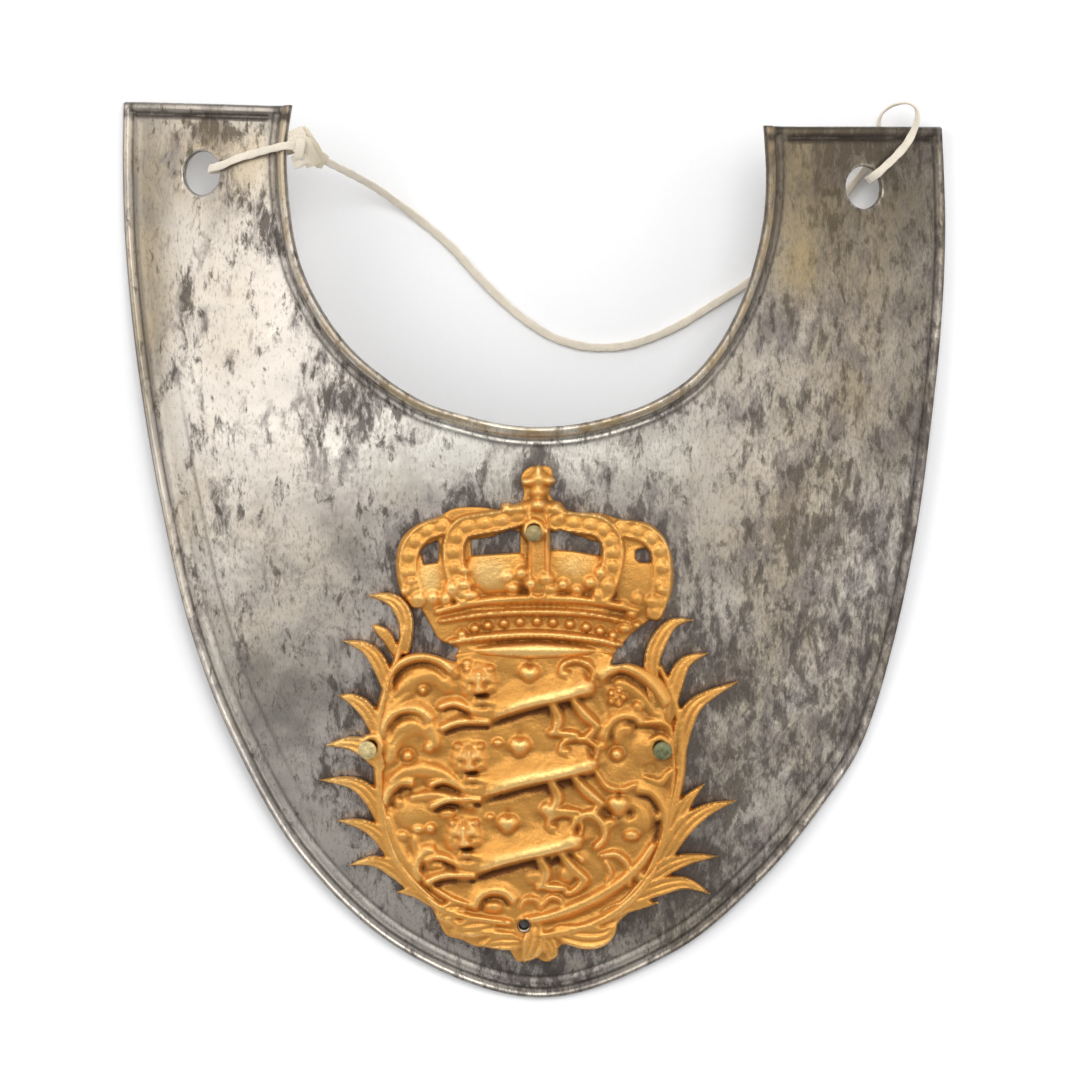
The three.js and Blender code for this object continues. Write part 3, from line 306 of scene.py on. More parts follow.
CROWN_LUMPS = (
    # x, y, radius, height
    (0.9, 9, 1.9, 4.9), (-2.8, 8.2, 1.5, 3.7), (-5.4, 8.4, 1.3, 3.3), (4.2, 8.2, 1.4, 3.7),
    (5.4, 6.6, 1.3, 3.5), (1, 14.2, 1.9, 3.9), (2.9, 13.8, 1, 3.9), (-1, 13.6, 1, 3.6),
    (0.9, 11.6, 1.4, 3.5), (-16.4, -7.6, 1.9, 4.2), (-14, -6.8, 1.7, 3.9), (-12.7, -9, 1.6, 3.8),
    (-17.6, -9.6, 1.6, 3.6), (-14, -4, 1.3, 3.4), (-23.2, -9.6, 1.7, 3.3), (-25.9, -8.2, 1.5, 3.2),
    (-20.2, -9.4, 1.5, 3.4), (-24.6, -6.2, 1.2, 3.4), (-5.2, -5.2, 1.7, 3.5), (-2.4, -4.6, 1.5, 3.9),
    (-0.6, -6.6, 1.6, 4.5), (2.4, -5.6, 1.7, 4.1), (5.8, -6.8, 1.6, 3.6), (-4.2, -7.6, 1.7, 3.4),
    (3.2, -8, 1.6, 3.5), (13.4, -4.6, 1.8, 3.9), (11.4, -6.4, 1.8, 3.8), (14.8, -7, 1.7, 3.9),
    (12.8, -9.2, 1.6, 3.5), (8.6, -8, 1.3, 3.1), (23.8, -10.2, 1.7, 3.3), (20.8, -9.6, 1.7, 3.2),
    (25.8, -8, 1.4, 3.1), (17.8, -11, 1.2, 3), (19.6, -12.8, 1.3, 3), (18.2, -15.6, 1.4, 3),
    (20.6, -15, 1.1, 2.8), (16.2, -13.8, 1.1, 2.9),
)

# The shield's scroll work. Hoods rise gently on the left of their line and drop steeply on its right, and
# their gentle side reaches this many times as far as their row says
GENTLE_SPREAD = 1.35
HOODS = (
    # height, gentle reach, steep reach, hollow under the steep side, line
    (3.3, 1.7, 0.7, 0.75, ((-29.4, -30), (-29.2, -26.4), (-27.6, -23.6), (-24.8, -22), (-21.6, -21.6),
        (-18.4, -22.8), (-16.4, -24.8))),
    (3.2, 1.6, 0.7, 0.75, ((-30.2, -38), (-29.6, -34.8), (-27.8, -32.8), (-25.2, -32), (-22.6, -32.6),
        (-20.6, -34.6))),
    (3.2, 1.6, 0.7, 0.8, ((-30, -51.4), (-28.8, -48.4), (-26.6, -46.7), (-24, -46.9))),
    (2.9, 1.5, 0.6, 0.55, ((-23, -67), (-23.4, -63.6), (-22, -61.2), (-19.6, -60.6))),
    (3.3, 2.2, 0.8, 0.7, ((13.2, -26.2), (14.8, -24.6), (17.6, -23.6), (21.2, -25.2), (24.2, -28),
        (26.4, -31.6))),
    (3, 1.5, 0.7, 0.55, ((14.2, -38.6), (14.9, -35.6), (16.8, -33.7), (19.6, -33.4), (21.6, -34.8))),
    (2.8, 1.8, 0.7, 0.6, ((20.2, -48.4), (23.2, -48.6), (25.4, -51.2), (26.2, -55), (25.6, -59))),
    (2.9, 1.6, 0.6, 0.55, ((-11.8, -72.6), (-10.8, -70), (-8.6, -68.8), (-5.8, -69.2), (-4, -71.2))),
    (2.7, 1.2, 0.5, 0.45, ((3, -62.6), (5.2, -60.8), (8, -61), (9.8, -63))),
)
LOBES = (
    # width, height, line
    (5.2, 2.9, ((-29.2, -34), (-28, -30.6), (-25.6, -27.2), (-22.6, -25.2), (-19.4, -25.2),
        (-17.2, -27.4))),
    (4.8, 2.9, ((-28.8, -41.6), (-28, -37.8), (-26, -35.6), (-23.2, -34.8), (-20.8, -36), (-19.8, -38.6))),
    (3.4, 3.1, ((-28.6, -46.4), (-26, -44.5), (-22, -44), (-18, -45), (-14.6, -47.4))),
    (2.6, 2.9, ((-24.4, -49.6), (-19.8, -49.2), (-15.8, -50), (-12.6, -51.4))),
    (3.4, 2.5, ((-29.4, -54), (-28.4, -58.4), (-25.8, -62.6), (-23.6, -65.4))),
    (2, 3, ((-28.6, -61.4), (-25.2, -66.4), (-21.4, -70.2), (-17, -72.8), (-11, -74.2), (-5, -75))),
    (1.5, 2.8, ((-24, -63.6), (-20.8, -67.4), (-16.6, -70.2), (-11.6, -71.8))),
    (2, 2.7, ((-19.4, -73.6), (-14.6, -75.6), (-9.6, -77), (-4.4, -77.4))),
    (4.4, 2.6, ((17, -26.4), (20.6, -27.6), (23.6, -30.6), (25.6, -34))),
    (3.8, 2.8, ((16.6, -37.6), (17.2, -35.8), (19.2, -35.6))),
    (1.5, 2.9, ((20.8, -34.6), (24.4, -34.4), (27, -35.2), (27.8, -38.2))),
    (1.2, 2.6, ((27.7, -37), (28.1, -44), (27.6, -50), (26.8, -56), (24.8, -62))),
    (2.2, 3.2, ((7.4, -56.4), (8.6, -54), (11.2, -53), (13.6, -54.6), (14.2, -57.6), (12.4, -59.6))),
    (1.9, 2.9, ((13.6, -61.4), (16.6, -61.2), (18.8, -63.4), (19.2, -67.4))),
    (1.4, 2.6, ((14.4, -62.6), (15.4, -64.8), (14.6, -67))),
    (2.8, 3.2, ((-2, -74.6), (3.2, -73.6), (8.2, -71.8), (13.2, -69.4), (17.6, -66.6), (21.2, -63.2),
        (23.8, -59.4))),
    (2.2, 2.9, ((1.6, -77.6), (8.2, -76.4), (13.4, -74.6), (17.8, -71.8), (22.4, -67.2), (25.8, -62))),
    (1.3, 2.6, ((-2.8, -71.8), (-1.6, -70.2), (0.6, -70.4), (1.4, -72.2))),
    (1.3, 2.6, ((1.8, -71.4), (3.2, -69.8), (5.2, -70.2), (5.8, -71.8))),
    (2.6, 2.4, ((-24, -57.8), (-23.6, -60.6), (-21.6, -62.8), (-18.8, -63.4))),
    (1.8, 2.7, ((12.6, -44.6), (14.4, -47.2), (17.4, -48.2), (20.4, -47))),
    (2, 2.5, ((22.4, -45.6), (25.4, -46.6), (27.2, -44.4))),
)
LUMPS = (
    # x, y, half across, half up, height
    (-22.2, -28, 0.9, 0.9, 3.3), (-25.3, -41.2, 1.3, 1.2, 3.2), (-20.9, -39.4, 1.4, 1.4, 3.2),
    (-22.6, -43.2, 2, 1.3, 2.7), (-23.3, -56, 1.5, 1.1, 3), (-20.8, -55.8, 1.3, 1.2, 3),
    (-17.4, -52.8, 1.9, 1.3, 2.9), (-21.8, -60.2, 1.5, 1.2, 2.8), (-26.4, -57.4, 1.4, 1.2, 2.5),
    (-24, -53, 4.6, 3.4, 2.4), (20.8, -31.3, 1.4, 1.4, 3.3), (16.6, -40.9, 1.4, 1.4, 3.2),
    (13.6, -39.2, 1.2, 1, 2.7), (19.6, -57.2, 1.9, 1.4, 3.3), (15.2, -54.6, 1.8, 1.5, 3),
    (22.4, -40, 3.2, 3.6, 2.3), (20.4, -53.6, 4.4, 4, 2.3), (-7.2, -38.6, 1.3, 1, 2.5),
    (-8.2, -71.8, 2.2, 1.4, 2.6), (-14, -66, 2.4, 1.6, 2.2), (21.6, -65.8, 1.6, 1.3, 2.7),
    (-15.8, -24.6, 1.4, 1.2, 2.6), (-13.4, -22.6, 1.3, 0.9, 2.8), (10.6, -22.6, 1.4, 1, 2.6),
    (4, -50.6, 1.8, 1.3, 2.9), (6.4, -52.4, 1.4, 1.5, 2.8), (-8.8, -53.6, 1, 0.9, 2.5),
    (0.6, -65.8, 2.6, 1.6, 2.4), (6.6, -65.2, 1.8, 2, 2.7), (9.8, -67, 1.5, 1.2, 2.6),
    (24.8, -53.6, 1, 1, 2.7), (-27.2, -50.6, 1.2, 1.4, 2.5),
)
ROSETTE = {"x": 16.6, "y": -29.4, "radius": 1.35, "height": 3.4}
RINGS = (
    # x, y, radius
    (-22.2, -28, 1.35), (23.2, -44, 1.1), (-25.3, -41.2, 1.6), (16.6, -40.9, 1.8),
)
GROOVES = (
    # width, depth, line
    (0.45, 0.55, ((-28.8, -31), (-26.4, -28.8), (-24.2, -27.8))),
    (0.4, 0.35, ((-27.6, -26.4), (-24.6, -24.6), (-21, -24.2))),
    (0.45, 0.5, ((-28.6, -39.6), (-27, -37), (-24.4, -36.2))),
    (0.6, 0.7, ((-22.8, -47), (-18.8, -47.4), (-15, -49))),
    (0.6, 0.8, ((-20.6, -52.6), (-19.2, -51.3), (-17.2, -51), (-15.4, -51.8))),
    (0.5, 0.5, ((-28.4, -52), (-27, -49.6), (-25.4, -48.8))),
    (0.45, 0.45, ((18.4, -25.6), (21.6, -27.4), (24, -30.2))),
    (0.55, 0.6, ((19.4, -36.2), (22, -35.8), (25.4, -36.2))),
    (0.5, 0.45, ((13.4, -28.4), (14.8, -31.8), (14.6, -35))),
    (0.45, 0.4, ((20.4, -50.6), (22.8, -51.4), (24, -54.4), (23.4, -58))),
    (0.5, 0.45, ((1.4, -75.6), (7.8, -74.2), (13, -72), (18, -68.6), (22.4, -64.4))),
    (0.45, 0.4, ((-24.6, -65.6), (-20, -69.4), (-14.4, -72.6), (-8, -73.4))),
)
PITS = (
    # x, y, reach across, reach up, depth
    (-17, -28, 1.1, 1.6, 0.55), (-19.2, -41.4, 1.2, 1.6, 0.55), (-19.2, -58.4, 1.3, 1.8, 0.55),
    (11, -56.4, 1.5, 1, 0.7), (-26.6, -30, 0.8, 0.8, 0.2), (12.4, -31.8, 1.4, 2, 0.5),
    (23.2, -44, 0.4, 0.4, 0.6), (12.6, -46.8, 1.8, 1, 0.3), (9, -69, 2, 1, 0.3),
    (-24.8, -60.4, 0.9, 1.2, 0.35), (16.8, -53.4, 1, 0.8, 0.4),
)

# A beast, about the middle of its face
BEAST_HOODS = (
    # height, gentle reach, steep reach, hollow under the steep side, line
    (4.3, 3, 0.8, 0.7, ((2.2, -6.6), (7.2, -4.9), (11.2, -3.8), (15.2, -3), (19.2, -1.9), (22.4, -0.8))),
    (3.4, 1.1, 0.55, 0.6, ((-7.4, -9), (-4.8, -7.8), (-1.6, -7.4), (2.4, -7.6))),
    (3.3, 1, 0.5, 0.55, ((-7.8, -4.6), (-5.2, -3.8), (-2.6, -4.6), (-0.6, -6))),
)
BEAST_BARS = (
    # width, height, line
    (4, 4, ((19.4, -0.6), (22.2, 0))),
    (2.8, 3.2, ((14.6, -3.8), (15.9, -6.6), (15.2, -9.2))),
    (2, 3.1, ((15, -9.6), (17.4, -9.8), (19.6, -9.9))),
    (2.6, 3.1, ((18.8, -3), (21.2, -6), (23.8, -8.2))),
    (1.9, 2.8, ((23.6, -8), (22.4, -9.8), (20.6, -11))),
    (1.4, 3, ((22.6, 0.6), (22.8, 3.2), (20, 4.9), (17, 4.2), (16.4, 2), (18.6, 0.9))),
)
# Painted highlight along a beast's body and painted shade below it and below its front paws
BEAST_PAINTED_LIGHT = (
    # reach, amount, line
    (0.8, 0.75, ((6, -4.6), (12, -2.9), (18, -1.5), (21, -0.7))),
    (1.1, -0.8, ((1, -8.6), (8, -7.3), (14, -6), (20, -4.2))),
    (0.7, -0.9, ((-7.6, -10.2), (-3, -9.2), (2, -8.9))),
)
BEAST_LUMPS = (
    # x, y, half across, half up, height
    (1.4, -4.6, 4.2, 3, 3.7), (20.6, -0.8, 3, 2, 4.3), (-7.4, -8.7, 1.1, 1, 3.3),
    (-7.6, -4.3, 1.1, 0.9, 3.2), (14.6, -9.6, 1.2, 1, 3.1), (20.2, -10.9, 1.2, 0.9, 3),
    (17.4, 2.2, 1.3, 1.1, 3.1),
)

# Rubbed places on the crown with painted highlight, and painted shade on its right
CROWN_RUB_AND_LIGHT = (
    # x, y, reach across, reach up, amount
    (-8.2, -4.4, 4.4, 3.4, 1), (8.2, -3.4, 4.4, 2.8, 0.6), (-20.8, -6, 2.2, 4.4, 0.9),
    (0.2, -20.1, 8.5, 1.6, 1.1), (20.6, -7, 3.4, 4.4, -0.5), (17, -13, 4, 3, -0.3), (-14.5, -8, 3, 2, 0.4),
    (-0.6, -6.6, 1.5, 1.2, 0.6),
)

# The plate's back has this share of the front's marks
BACK_MARKS = 0.2

# Brighter and duller places of the plate: painted highlights below the neck and at the bottom, and duller
# places that are partly tarnish and partly painted shade, most on the right arm
SHEEN_AND_DULL_SPOTS = (
    # x, y, reach across, reach up, share
    (-68, 74, 16, 18, -0.3), (-79, 40, 5, 40, -0.45), (-50, 15, 16, 14, -0.1), (62, 78, 24, 22, -0.75),
    (62, 44, 20, 28, -0.2), (-10, 22, 30, 10, 1), (24, 24, 14, 9, 0.45), (-38, 2, 10, 14, -0.25),
    (-50, -30, 14, 16, -0.16), (0, -86, 30, 6, 0.25), (-2, 12, 5, 6, -0.15),
)

# Where the circlet's bosses and beads, the shield's hearts and its beasts' faces stand
BOSS_ROW = (
    (-14.4, -16.8), (-11.8, -15.6), (-9.2, -15), (-6, -14.5), (-2.8, -14.2), (0.6, -14.1), (3.8, -14.3),
    (7.2, -14.7), (10.4, -15.3), (13.2, -16.1), (15.8, -17),
)
BEAD_ROW = (
    (-12.8, -12.4), (-6.8, -11.2), (0.6, -10.8), (8.2, -11.2), (14.2, -12.4),
)
HEARTS = (
    (-0.8, -24.8), (-2.8, -39.4), (3.4, -52.4), (-5.2, -55),
)
BEASTS = (
    # x, y, how far the body is drawn out
    (-11, -27, 1), (-13, -42.6, 1.12), (-14, -58, 1.03),
)


def spline(points, shares, ends="doubled"):
    """Places on a uniform Catmull-Rom line. Between two points the line is the cubic that leaves each of
    them along half the step between its neighbours. The end points are doubled, or mirrored past the end."""
    points = np.asarray(points, float)
    first, last = points[0], points[-1]
    if ends == "mirrored":
        first, last = 2 * points[0] - points[1], 2 * points[-1] - points[-2]
    padded = np.vstack([first, points, last])
    place = np.clip(np.asarray(shares, float), 0, 1) * (len(points) - 1)
    index = np.minimum(place.astype(int), len(points) - 2)
    t = (place - index)[..., None]
    before, start, finish, after = (padded[index + k] for k in range(4))
    leave, arrive = (finish - before) / 2, (after - start) / 2
    cubic = (2 * start - 2 * finish + leave + arrive) * t**3
    return cubic + (3 * finish - 3 * start - 2 * leave - arrive) * t**2 + leave * t + start


def face_height(x, y):
    """The plain front: an arc of a circle across, a parabola lengthwise and a slight lean."""
    across = FACE["across"] - np.sqrt(FACE["across"] ** 2 - x**2)
    along = (y - FACE["highest_y"]) ** 2 / (2 * FACE["along"])
    return FACE["crown"] - across - along + FACE["lean_x"] * x + FACE["lean_y"] * y


def face_normal(x, y):
    """The upward unit vector square to the plain front, from its slopes by small steps."""
    step = 0.01
    slope_x = (face_height(x + step, y) - face_height(x - step, y)) / (2 * step)
    slope_y = (face_height(x, y + step) - face_height(x, y - step)) / (2 * step)
    normal = np.stack([-slope_x, -slope_y, np.ones_like(slope_x)], -1)
    return normal / np.linalg.norm(normal, axis=-1, keepdims=True)


def bell(distance, width):
    """A smooth bump of height one that fades over the width: e to the power of minus its square."""
    return np.exp(-((distance / width) ** 2))


def bells(x, y, table):
    """The sum of a table's bells, each with its place, its reach across and up, and its size."""
    return sum(size * bell(np.hypot((x - at_x) / across, (y - at_y) / up), 1)
               for at_x, at_y, across, up, size in table)


def ellipse_arc(distance, half):
    """A half round of height one over a foot of twice the half width, by distance from the foot's edge."""
    return np.sqrt(np.clip(1 - ((distance - half) / half) ** 2, 0, 1))


def new_piece(name, points, faces, attributes=None, uv=None, smooth_angle=40.0):
    """A mesh object at the origin from points in millimetres and faces of three or four corners."""
    mesh = bpy.data.meshes.new(name)
    faces = [np.asarray(group, int) for group in faces if len(group)]
    mesh.from_pydata((np.asarray(points, float) * MM).tolist(), [], [f for g in faces for f in g.tolist()])
    for label, values in (attributes or {}).items():
        layer = mesh.attributes.new(label, "FLOAT", "POINT")
        layer.data.foreach_set("value", np.asarray(values, np.float32).ravel())
    if uv is not None:
        layer = mesh.uv_layers.new(name="along_and_across")
        corners = np.zeros(len(mesh.loops), int)
        mesh.loops.foreach_get("vertex_index", corners)
        layer.data.foreach_set("uv", np.asarray(uv, np.float32)[corners].ravel())
    mesh.validate()
    mesh.shade_smooth()
    mesh.set_sharp_from_angle(angle=math.radians(smooth_angle))
    piece = bpy.data.objects.new(name, mesh)
    bpy.context.scene.collection.objects.link(piece)
    return piece


def dress(piece, finish, slot, *nodes):
    """Gives a finished piece its material and its body, and hides the nodes that it stands for. The slot is
    not used.
    """
    piece.data.materials.clear()
    piece.data.materials.append(finish)
    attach(piece, "root")
    if nodes:
        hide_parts(*nodes)
    return piece


def grid_faces(columns, rows, start=0):
    """Quads between the neighbours of a grid that is stored column by column."""
    at = start + np.arange(columns * rows).reshape(columns, rows)
    return np.stack([at[:-1, :-1], at[:-1, 1:], at[1:, 1:], at[1:, :-1]], -1).reshape(-1, 4)


def ring_faces(columns, rows, start=0):
    """Quads of a grid whose rows close on themselves, as round a tube."""
    at = start + np.arange(columns * rows).reshape(columns, rows)
    on = np.roll(at, -1, axis=1)
    return np.stack([at[:-1], at[1:], on[1:], on[:-1]], -1).reshape(-1, 4)


# The plate


def neck_relief(distance):
    """The neck edge by distance from it: a half-round bead, a groove and a thin raised line."""
    bead = 0.85 * ellipse_arc(distance, 1.05)
    return bead - 0.16 * bell(distance - 2.7, 0.4) + 0.1 * bell(distance - 3.6, 0.3)


def border_relief(distance, low, left):
    """The outer edge: a narrow bead, a groove, a raised line and a second groove, both worn down on the
    arms, and a last fine groove farther in. low is 1 at the bottom of the plate and falls towards the arms,
    and left is 1 low on the left side."""
    bead = 0.42 * ellipse_arc(distance, 0.55)
    line = (0.08 + 0.24 * low) * bell(distance - 3.1, 0.62)
    grooves = 0.24 * bell(distance - 1.85, 0.36) + 0.14 * low * bell(distance - 4.3, 0.32)
    return bead + line - grooves - 0.1 * left * bell(distance - 7.8, 0.3)


def lower_part(y):
    """1 at the bottom of the plate, falling off to nought where the arms begin."""
    return np.clip((10 - y) / 50, 0, 1)


def left_side(x, y):
    """1 along the left edge below the arm, falling off towards the arm, the middle and the bottom."""
    return np.clip(-x / 20, 0, 1) * np.clip((38 - y) / 25, 0, 1) * np.clip((y + 60) / 25, 0, 1)


def end_relief(distance):
    """The cut end of an arm: a low broad bead, a deep groove and a faint line."""
    bead = 0.34 * ellipse_arc(distance, 0.9)
    return bead - 0.42 * bell(distance - 2.4, 0.55) + 0.12 * bell(distance - 3.5, 0.35)


def distance_from_end(side, x, y):
    """Square distance from the straight cut across an arm's end."""
    neck_x, neck_y, edge_x, edge_y = ARM_ENDS[side]
    run = math.hypot(edge_x - neck_x, edge_y - neck_y)
    return np.abs((edge_x - neck_x) * (y - neck_y) - (edge_y - neck_y) * (x - neck_x)) / run


def crossing(points, side, low, high):
    """The share of a line's way at which it crosses an arm's end, by halving the stretch that holds it."""
    neck_x, neck_y, edge_x, edge_y = ARM_ENDS[side]

    def beyond(share):
        x, y = spline(points, share)
        return (edge_x - neck_x) * (y - neck_y) - (edge_y - neck_y) * (x - neck_x) > 0

    low_side = beyond(low)
    for _ in range(40):
        middle = (low + high) / 2
        if beyond(middle) == low_side:
            low = middle
        else:
            high = middle
    return low


def plate_grid(rows_across):
    """The front's places: lines across the plate from the neck edge to the outer edge, crowded towards the
    arms' ends, and along each line the wanted distances from either edge, corrected for the line's slant."""
    table = np.array(STATIONS)
    neck, edge = table[:, :2], table[:, 2:]
    fine = np.arange(0, 0.02, 0.0011)
    shares = np.concatenate([fine, np.linspace(0.0205, 0.9795, 300), 1 - fine[::-1]])
    neck_low, neck_high = crossing(neck, "left", 0.0, 0.05), crossing(neck, "right", 0.95, 1.0)
    edge_low, edge_high = crossing(edge, "left", 0.0, 0.05), crossing(edge, "right", 0.95, 1.0)
    neck_line = spline(neck, neck_low + shares * (neck_high - neck_low))
    edge_line = spline(edge, edge_low + shares * (edge_high - edge_low))
    across = edge_line - neck_line
    width = np.linalg.norm(across, axis=1, keepdims=True)
    ahead = np.gradient(edge_line, axis=0)
    ahead /= np.linalg.norm(ahead, axis=1, keepdims=True)
    slant = np.abs(across[:, 0] * ahead[:, 1] - across[:, 1] * ahead[:, 0])[:, None] / width
    near = np.concatenate([[0, 0.03, 0.1, 0.22], np.arange(0.4, 5.6, 0.24)])
    from_edge = np.concatenate([near, np.arange(5.7, 8.9, 0.26)])[::-1] / slant
    middle = np.linspace(0, 1, rows_across)[1:-1]
    start, finish = near[-1], width - from_edge[:, :1]
    between = start + (finish - start) * middle
    distance = np.hstack([np.tile(near, (len(shares), 1)), between, width - from_edge])
    places = neck_line[:, None] + across[:, None] * (distance / width)[..., None]
    to_edge = (width - distance) * slant
    return places[..., 0], places[..., 1], distance, to_edge, shares[:, None] + 0 * distance


def plate_attributes(x, y, distance, to_edge, to_end):
    """What the plate's finish reads at each place: the worn bead, grime and painted shade in grooves and at
    edges as bells about their distances, the tarnish beside the casting, the spots and stains, and painted
    highlights and duller places."""
    bottom = bell(x - 2, 42) * np.clip((60 - y) / 20, 0, 1)
    worn = bell(distance - 1.0, 0.9) * (0.6 + 0.4 * bottom)
    edge = np.minimum(to_edge, to_end)
    # Grime with painted shade along the neck bead's grooves, the border's grooves, the arms' ends and the
    # edges
    grime_and_shade = 0.9 * bell(distance - 2.75, 0.5) + 0.75 * bell(distance - 3.7, 0.45) + 0.7 * bell(distance, 0.35)
    grime_and_shade += 0.85 * bell(to_edge - 1.85, 0.4) + 0.6 * lower_part(y) * bell(to_edge - 4.35, 0.35)
    grime_and_shade += 1.3 * bell(to_end - 2.4, 0.75) + 0.9 * bell(edge, 0.5) + 0.14 * bell(to_edge - 5, 2.6)
    grime_and_shade += 0.5 * left_side(x, y) * bell(to_edge - 7.8, 0.5)
    return {
        "worn": worn,
        "grime_and_shade": np.clip(grime_and_shade, 0, 1),
        "halo": np.exp(-np.clip(distance_from_casting(x, y), 0, 60) / 1.7),
        "spots": bells(x, y, DARK_SPOTS),
        "warm": bells(x, y, WARM_SPOTS),
        "sheen_and_dullness": bells(x, y, SHEEN_AND_DULL_SPOTS),
    }


def turned_points(profile, sides, x, y):
    """A profile of radius and height turned about the plate's normal at a place, as rings of points."""
    profile = np.array(profile)
    turn = np.linspace(0, 2 * math.pi, sides, endpoint=False)
    normal = face_normal(np.array(x), np.array(y))
    across = np.array([normal[2], 0, -normal[0]]) / math.hypot(normal[0], normal[2])
    beside = np.cross(normal, across)
    ring = np.cos(turn)[:, None] * across + np.sin(turn)[:, None] * beside
    foot = np.array([x, y, float(face_height(x, y))])
    return foot + profile[:, 0, None, None] * ring + profile[:, 1, None, None] * normal


def turned_solid(profile, sides, x, y):
    """The points and faces of a closed turned solid. Its profile runs upwards and ends at the axis."""
    rings = turned_points(profile, sides, x, y)
    count = len(profile)
    faces = ring_faces(count, sides)
    caps = [np.arange(sides)[::-1][None], (sides * (count - 1) + np.arange(sides))[None]]
    return rings.reshape(-1, 3), [faces[:, ::-1], *caps]


def make_plate(props):
    """Two sheets a thickness apart along the normal, joined by walls round all four sides, with rounded
    arrises, then bored for the tape and the pins."""
    x, y, distance, to_edge, along = plate_grid(props.rows_across)
    columns, rows = x.shape
    to_end = np.where(along > 0.5, distance_from_end("right", x, y), distance_from_end("left", x, y))
    arm = np.abs(2 * along - 1) ** 1.5
    arm_width = np.where(along < 0.5, FLARE["left_width"], FLARE["right_width"])
    width = FLARE["width"] + (arm_width - FLARE["width"]) * arm
    lift = FLARE["rise"] + (FLARE["arm_rise"] - FLARE["rise"]) * arm
    flare = lift * np.clip(1 - distance / width, 0, 1) ** 2
    border, end = border_relief(to_edge, lower_part(y), left_side(x, y)), end_relief(to_end)
    neck = np.where(to_end < 1.8, np.maximum(neck_relief(distance), end), neck_relief(distance))
    relief = np.where((to_end <= to_edge) & (to_end < 5), end, border)
    relief = np.where(distance < 5, neck, relief)
    nearest = np.minimum(np.minimum(distance, to_edge), to_end)
    radius = props.arris / MM
    arris = radius - np.sqrt(np.clip(radius**2 - np.clip(radius - nearest, 0, None) ** 2, 0, None))
    dents = bells(x, y, DENTS) * np.clip(nearest / 6, 0, 1)
    base = np.stack([x, y, face_height(x, y)], -1)
    normal = face_normal(x, y)
    upper = base + normal * (flare + relief + dents - arris)[..., None]
    lower = base + normal * (flare + dents - THICKNESS + 0.8 * arris)[..., None]
    count = columns * rows
    top = grid_faces(columns, rows)
    at = np.arange(count).reshape(columns, rows)
    rim = np.concatenate([at[:, 0], at[-1, 1:], at[-2::-1, -1], at[0, -2:0:-1]])
    on = np.roll(rim, -1)
    walls = np.stack([rim, on, on + count, rim + count], -1)
    points = np.concatenate([upper.reshape(-1, 3), lower.reshape(-1, 3)])
    marks = {}
    for label, values in plate_attributes(x, y, distance, to_edge, to_end).items():
        marks[label] = np.concatenate([values.ravel(), BACK_MARKS * values.ravel()])
    plate = new_piece("silver_plate", points, [top, top[:, ::-1] + count, walls], marks)
    for hole_x, hole_y, hole_radius in TIE_HOLES:
        bore(plate, hole_x, hole_y, hole_radius, TIE_HOLE_CORNERS)
    for hole_x, hole_y, *_ in (*PINS.values(), EMPTY_PIN_HOLE):
        bore(plate, hole_x, hole_y, PIN["bore"], PIN_HOLE_CORNERS)
    return plate


def bore(piece, x, y, radius, sides):
    """Cuts a round hole square to the front, opened a little where it meets the front."""
    wide = radius + 0.3
    profile = [(0.001, -6), (radius, -6), (radius, -0.35), (wide, 0.12), (wide, 6), (0.001, 6)]
    points, faces = turned_solid(profile, sides, x, y)
    cutter = new_piece("cutter", points, faces)
    count = len(piece.data.polygons)
    cut = piece.modifiers.new("bore", "BOOLEAN")
    cut.operation = "DIFFERENCE"
    cut.solver = "EXACT"
    cut.object = cutter
    with bpy.context.temp_override(object=piece, active_object=piece):
        bpy.ops.object.modifier_apply(modifier=cut.name)
    bpy.data.objects.remove(cutter)
    if len(piece.data.polygons) in (0, count):
        raise RuntimeError(f"{piece.name} could not be bored at {x}, {y}")


# The casting: a height over the plate and an inside distance, both on one regular grid of places


